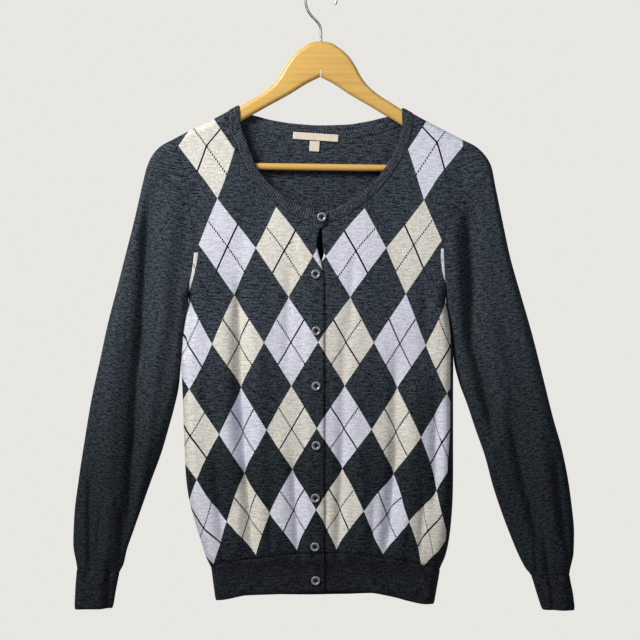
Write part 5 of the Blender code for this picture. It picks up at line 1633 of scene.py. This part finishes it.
across_p = add(tree, "ShaderNodeMath", {"operation": "FRACT"}, {0: total}).outputs[0]
across_q = add(tree, "ShaderNodeMath", {"operation": "FRACT"}, {0: spread}).outputs[0]
on_dots = add(tree, "ShaderNodeMath", {"operation": "COMPARE"},
              {0: across_p, 1: 0.5, 2: DOT_SHARE}).outputs[0]
on_line = add(tree, "ShaderNodeMath", {"operation": "COMPARE"},
              {0: across_q, 1: 0.5, 2: LINE_SHARE}).outputs[0]
low_rows = add(tree, "ShaderNodeMath", {"operation": "GREATER_THAN"}, {0: v, 1: 2.0}).outputs[0]
low_u = add(tree, "ShaderNodeMath", {"operation": "MULTIPLY"}, {0: u, 1: low_rows}).outputs[0]
closed = add(tree, "ShaderNodeMapRange", {}, {"Value": low_u, "From Min": 1.2, "From Max": 2.4,
                                              "To Min": 0.6, "To Max": 1.0}).outputs[0]
open_share = add(tree, "ShaderNodeMapRange", {}, {"Value": low_u, "From Min": 1.0, "From Max": 2.4,
                                                  "To Min": 1.0, "To Max": 0.6}).outputs[0]
dotted = beaded(tree, on_dots, spread, closed)
solid = beaded(tree, on_line, total, open_share)
lines = add(tree, "ShaderNodeMath", {"operation": "MAXIMUM"}, {0: dotted, 1: solid}).outputs[0]
lines = add(tree, "ShaderNodeMath", {"operation": "MULTIPLY"}, {0: lines, 1: inside}).outputs[0]
faint = add(tree, "ShaderNodeMapRange", {}, {"Value": pale, "To Min": 0.28, "To Max": 1.0}).outputs[0]
ink = add(tree, "ShaderNodeMath", {"operation": "MULTIPLY"}, {0: lines, 1: faint}).outputs[0]
yarn_color = add(tree, "ShaderNodeMix", {"data_type": "RGBA"},
                 {0: ink, 6: cloth_color, 7: linear("#15132e")}).outputs[2]
finish_wool(tree, shader, yarn_color, relief, 0.5)
print("argyle nodes:", len(tree.nodes))

# %% [markdown]
# ## Lacquered beech
# Beech is straight grained with short flecks, and its clear lacquer gives a soft gloss. Noise stretched
# along the wood gives streaks 160 mm long and 3.5 mm wide, and a broad noise lets them drift.

# %% Wood
GRAIN_LENGTH = 0.16
GRAIN_WIDTH = 0.0035
beech, tree, shader = material("lacquered_beech")
place = add(tree, "ShaderNodeTexCoord", {}, {}).outputs["Object"]
stretched = add(tree, "ShaderNodeVectorMath", {"operation": "MULTIPLY"},
                {0: place, 1: (1 / GRAIN_LENGTH, 1 / GRAIN_WIDTH, 1 / GRAIN_WIDTH)}).outputs["Vector"]
grain = add(tree, "ShaderNodeTexNoise", {}, {"Vector": stretched, "Scale": 1.0, "Detail": 3.0}).outputs["Fac"]
broad = add(tree, "ShaderNodeTexNoise", {}, {"Vector": place, "Scale": 9.0, "Detail": 1.0}).outputs["Fac"]
grain = add(tree, "ShaderNodeMath", {"operation": "MULTIPLY_ADD"}, {0: broad, 1: 0.5, 2: grain}).outputs[0]
share = add(tree, "ShaderNodeMapRange", {}, {"Value": grain, "From Min": 0.35, "From Max": 1.15}).outputs[0]
wood_color = add(tree, "ShaderNodeMix", {"data_type": "RGBA"},
                 {0: share, 6: linear("#c59c54"), 7: linear("#dfba70")}).outputs[2]
tree.links.new(wood_color, shader.inputs["Base Color"])
gloss = add(tree, "ShaderNodeMapRange", {}, {"Value": share, "To Min": 0.48, "To Max": 0.36}).outputs[0]
tree.links.new(gloss, shader.inputs["Roughness"])
shader.inputs["Coat Weight"].default_value = 0.35
shader.inputs["Coat Roughness"].default_value = 0.22
bump = add(tree, "ShaderNodeBump", {}, {"Strength": 0.12, "Distance": 0.0003, "Height": grain})
tree.links.new(bump.outputs["Normal"], shader.inputs["Normal"])
print("wood:", beech.name)

# %% [markdown]
# ## Chromed steel wire
# The hook is drawn steel wire with bright chrome plate. It mirrors the room, dulled in patches where rails
# have rubbed it, so a fine noise moves its roughness. A metal keeps the shader's default IOR.

# %% Wire
chrome, tree, shader = material("chromed_steel_wire")
shader.inputs["Base Color"].default_value = linear("#c9c7c3")
shader.inputs["Metallic"].default_value = 1.0
place = add(tree, "ShaderNodeTexCoord", {}, {}).outputs["Object"]
rub = add(tree, "ShaderNodeTexNoise", {}, {"Vector": place, "Scale": 420.0, "Detail": 2.0}).outputs["Fac"]
rough = add(tree, "ShaderNodeMapRange", {}, {"Value": rub, "To Min": 0.16, "To Max": 0.36}).outputs[0]
tree.links.new(rough, shader.inputs["Roughness"])
bump = add(tree, "ShaderNodeBump", {}, {"Strength": 0.05, "Distance": 0.00002, "Height": rub})
tree.links.new(bump.outputs["Normal"], shader.inputs["Normal"])
print("wire:", chrome.name)

# %% [markdown]
# ## Smoky polyester
# The buttons are cast polyester, turned and polished: cloudy grey and glossy. Their rim is painted paler as a
# painted highlight. The distance from the button's own axis tells the rim from the middle.

# %% Button
polyester, tree, shader = material("smoky_polyester")
place = add(tree, "ShaderNodeTexCoord", {}, {}).outputs["Object"]
cloud = add(tree, "ShaderNodeTexNoise", {}, {"Vector": place, "Scale": 260.0, "Detail": 2.0}).outputs["Fac"]
middle = add(tree, "ShaderNodeMix", {"data_type": "RGBA"},
             {0: cloud, 6: linear("#26282d"), 7: linear("#4b4e56")}).outputs[2]
# The paler rim colours are a painted highlight.
rim_highlight = add(tree, "ShaderNodeMix", {"data_type": "RGBA"},
          {0: cloud, 6: linear("#6c7077"), 7: linear("#a3a6ac")}).outputs[2]
flat_place = add(tree, "ShaderNodeVectorMath", {"operation": "MULTIPLY"},
                 {0: place, 1: (1.0, 1.0, 0.0)}).outputs["Vector"]
reach = add(tree, "ShaderNodeVectorMath", {"operation": "LENGTH"}, {0: flat_place}).outputs["Value"]
rim_highlight_share = add(tree, "ShaderNodeMapRange", {},
             {"Value": reach, "From Min": 0.0026, "From Max": 0.0040}).outputs[0]
smoke_and_rim_highlight = add(tree, "ShaderNodeMix", {"data_type": "RGBA"}, {0: rim_highlight_share, 6: middle, 7: rim_highlight}).outputs[2]
tree.links.new(smoke_and_rim_highlight, shader.inputs["Base Color"])
polish = add(tree, "ShaderNodeMapRange", {}, {"Value": cloud, "To Min": 0.12, "To Max": 0.20}).outputs[0]
tree.links.new(polish, shader.inputs["Roughness"])
bump = add(tree, "ShaderNodeBump", {}, {"Strength": 0.05, "Distance": 0.00003, "Height": cloud})
tree.links.new(bump.outputs["Normal"], shader.inputs["Normal"])
shader.inputs["IOR"].default_value = 1.55
shader.inputs["Coat Weight"].default_value = 0.4
print("button:", polyester.name)

# %% [markdown]
# ## Sewing thread
# The thread is dark spun polyester, matt and fibrous like a yarn, so it takes the wool's finish with a
# nearly even colour and less relief.

# %% Thread
thread, tree, shader = material("polyester_thread")
flecks, streaks, relief = yarn_fields(tree)
finish_wool(tree, shader, heather(tree, flecks, streaks, "#17181c", "#2c2e34"), relief, 0.2)
print("thread:", thread.name)

# %% [markdown]
# ## Woven satin
# The label and its tab are satin of pale pink cream with a fine rib across. The floating threads give a
# soft shine, a little uneven with handling, and the rib every 0.6 mm is a bump.

# %% Label satin
RIB_PITCH = 0.6
satin, tree, shader = material("woven_satin")
place = add(tree, "ShaderNodeAttribute", {"attribute_name": "cloth"}, {}).outputs["Vector"]
parts = add(tree, "ShaderNodeSeparateXYZ", {}, {"Vector": place})
picks = add(tree, "ShaderNodeMath", {"operation": "MULTIPLY"},
            {0: parts.outputs["Y"], 1: 2 * math.pi / RIB_PITCH})
rows = add(tree, "ShaderNodeMath", {"operation": "SINE"}, {0: picks.outputs[0]}).outputs[0]
mottle = add(tree, "ShaderNodeTexNoise", {}, {"Vector": place, "Scale": 0.7, "Detail": 2.0}).outputs["Fac"]
satin_color = add(tree, "ShaderNodeMix", {"data_type": "RGBA"},
                  {0: mottle, 6: linear("#cfc3b4"), 7: linear("#e5dbcd")}).outputs[2]
tree.links.new(satin_color, shader.inputs["Base Color"])
gloss = add(tree, "ShaderNodeMapRange", {}, {"Value": mottle, "To Min": 0.44, "To Max": 0.56}).outputs[0]
tree.links.new(gloss, shader.inputs["Roughness"])
shader.inputs["Sheen Weight"].default_value = 0.2
bump = add(tree, "ShaderNodeBump", {}, {"Strength": 0.3, "Distance": 0.0001, "Height": rows})
tree.links.new(bump.outputs["Normal"], shader.inputs["Normal"])
print("materials:", len(bpy.data.materials))

# %% [markdown]
# ## Join the pieces to the frame
# Every piece rides on the one body and takes the finishes listed beside it, and the CAD node that it stands
# for is hidden. Each knitted piece is a sheet of cloth, cut to a flat size before it was sewn. The table also
# lists each piece's slot and flat size, which are not used here.

# %% Ride and replace
PIECES = (  # piece, CAD node, slot, materials, flat width and length in metres, share of that rectangle
    (front_right, "front_right", "knit", (argyle,), (0.195, 0.565), 0.80),
    (front_left, "front_left", "knit", (argyle,), (0.205, 0.565), 0.80),
    (back, "back_panel", "knit", (charcoal,), (0.37, 0.575), 0.88),
    (sleeve_right, "sleeve_right", "knit", (charcoal,), (0.31, 0.56), 0.61),
    (sleeve_left, "sleeve_left", "knit", (charcoal,), (0.31, 0.56), 0.61),
    (band, "neckband", "rib", (band_rib,), (0.66, 0.017), 1.0),
    (hem_right, "hem_rib_right", "rib", (fine_rib,), (0.15, 0.048), 1.0),
    (hem_left, "hem_rib_left", "rib", (fine_rib,), (0.17, 0.048), 1.0),
    (hem_back, "hem_rib_back", "rib", (fine_rib,), (0.295, 0.048), 1.0),
    (cuff_right, "cuff_right", "rib", (fine_rib,), (0.11, 0.05), 1.0),
    (cuff_left, "cuff_left", "rib", (fine_rib,), (0.11, 0.05), 1.0),
    (label, "label", "label", (satin,), (0.057, 0.01), 1.0),
    (tab, "size_tab", "label", (satin,), (0.0125, 0.013), 1.0),
    (shoulders, "hanger_body", "wood", (beech,), None, 1.0),
    (bar, "hanger_bar", "wood", (beech,), None, 1.0),
    (hook, "hanger_hook", "metal", (chrome,), None, 1.0))
for piece, node, slot_name, finishes, flat, share in PIECES:
    piece.data.materials.clear()
    for finish in finishes:
        piece.data.materials.append(finish)
    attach(piece, "root")
    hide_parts(node)
shared_button.materials.append(polyester)
shared_button.materials.append(thread)
for number, item in enumerate(buttons, start=1):
    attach(item, "root")
    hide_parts("button_%d" % number)
print("pieces:", len(PIECES) + len(buttons))

# %% [markdown]
# ## Floor, light and camera
# The hanger hangs clear of a pale floor. Light is soft: a pale surround and two large lamps in front, the
# stronger one from the upper left. A third lamp behind lights the back panel. The camera looks level from the
# front and frames 0.8 m at the cloth.

# %% Studio
FLOOR_Z = -1.65
FLOOR_HALF = 2.4
AMBIENT = 0.23
BACKDROP = 0.86
floor = made("floor", [(sx * FLOOR_HALF / MM, sy * FLOOR_HALF / MM, FLOOR_Z / MM) for sx, sy in
                       ((-1, -1), (1, -1), (1, 1), (-1, 1))], [(0, 1, 2, 3)], {})
paint, tree, shader = material("pale_floor_paint")
place = add(tree, "ShaderNodeTexCoord", {}, {}).outputs["Object"]
soft = add(tree, "ShaderNodeTexNoise", {}, {"Vector": place, "Scale": 3.0}).outputs["Fac"]
tone = add(tree, "ShaderNodeMix", {"data_type": "RGBA"},
           {0: soft, 6: linear("#dddcd8"), 7: linear("#e6e5e2")})
tree.links.new(tone.outputs[2], shader.inputs["Base Color"])
shader.inputs["Roughness"].default_value = 0.8
floor.data.materials.append(paint)

world = bpy.data.worlds.new("pale_surround")
bpy.context.scene.world = world
world.use_nodes = True
surround = world.node_tree.nodes["Background"]
surround.inputs["Color"].default_value = linear("#e6e5e1")
seen = add(world.node_tree, "ShaderNodeLightPath", {}, {}).outputs["Is Camera Ray"]
strength = add(world.node_tree, "ShaderNodeMapRange", {},
               {"Value": seen, "To Min": AMBIENT, "To Max": BACKDROP})
world.node_tree.links.new(strength.outputs[0], surround.inputs["Strength"])


def lamp(name, place, aim, size, power, code):
    """A soft square lamp aimed at a point."""
    light = bpy.data.lights.new(name, "AREA")
    light.size = size
    light.energy = power
    light.color = linear(code)[:3]
    item = bpy.data.objects.new(name, light)
    item.location = place
    item.rotation_euler = (Vector(aim) - Vector(place)).to_track_quat("-Z", "Y").to_euler()
    bpy.context.scene.collection.objects.link(item)


lamp("key", (-0.95, -0.95, 0.5), (0.0, 0.0, -0.35), 0.55, 23.5, "#fffdf8")
lamp("fill", (0.8, -2.0, 0.4), (0.0, 0.0, -0.40), 1.2, 6.2, "#f4f8ff")
lamp("behind", (-0.9, 2.2, 0.5), (0.0, 0.0, -0.40), 1.4, 17.0, "#faf9f6")

CAMERA_DISTANCE = 3.2
FRAME_WIDTH = 0.8
FRAME_CENTRE = (-0.0011, -0.4208)
camera_data = bpy.data.cameras.new("camera")
camera_data.sensor_width = 36.0
camera_data.lens = 36.0 * CAMERA_DISTANCE / FRAME_WIDTH
camera = bpy.data.objects.new("camera", camera_data)
camera.location = (FRAME_CENTRE[0], -CAMERA_DISTANCE - 0.006, FRAME_CENTRE[1])
camera.rotation_euler = (math.radians(90), 0.0, 0.0)
bpy.context.scene.collection.objects.link(camera)
bpy.context.scene.camera = camera
bpy.context.scene.view_settings.view_transform = "Standard"
bpy.context.scene.view_settings.look = "Medium High Contrast"
print("camera lens:", round(camera_data.lens, 1))
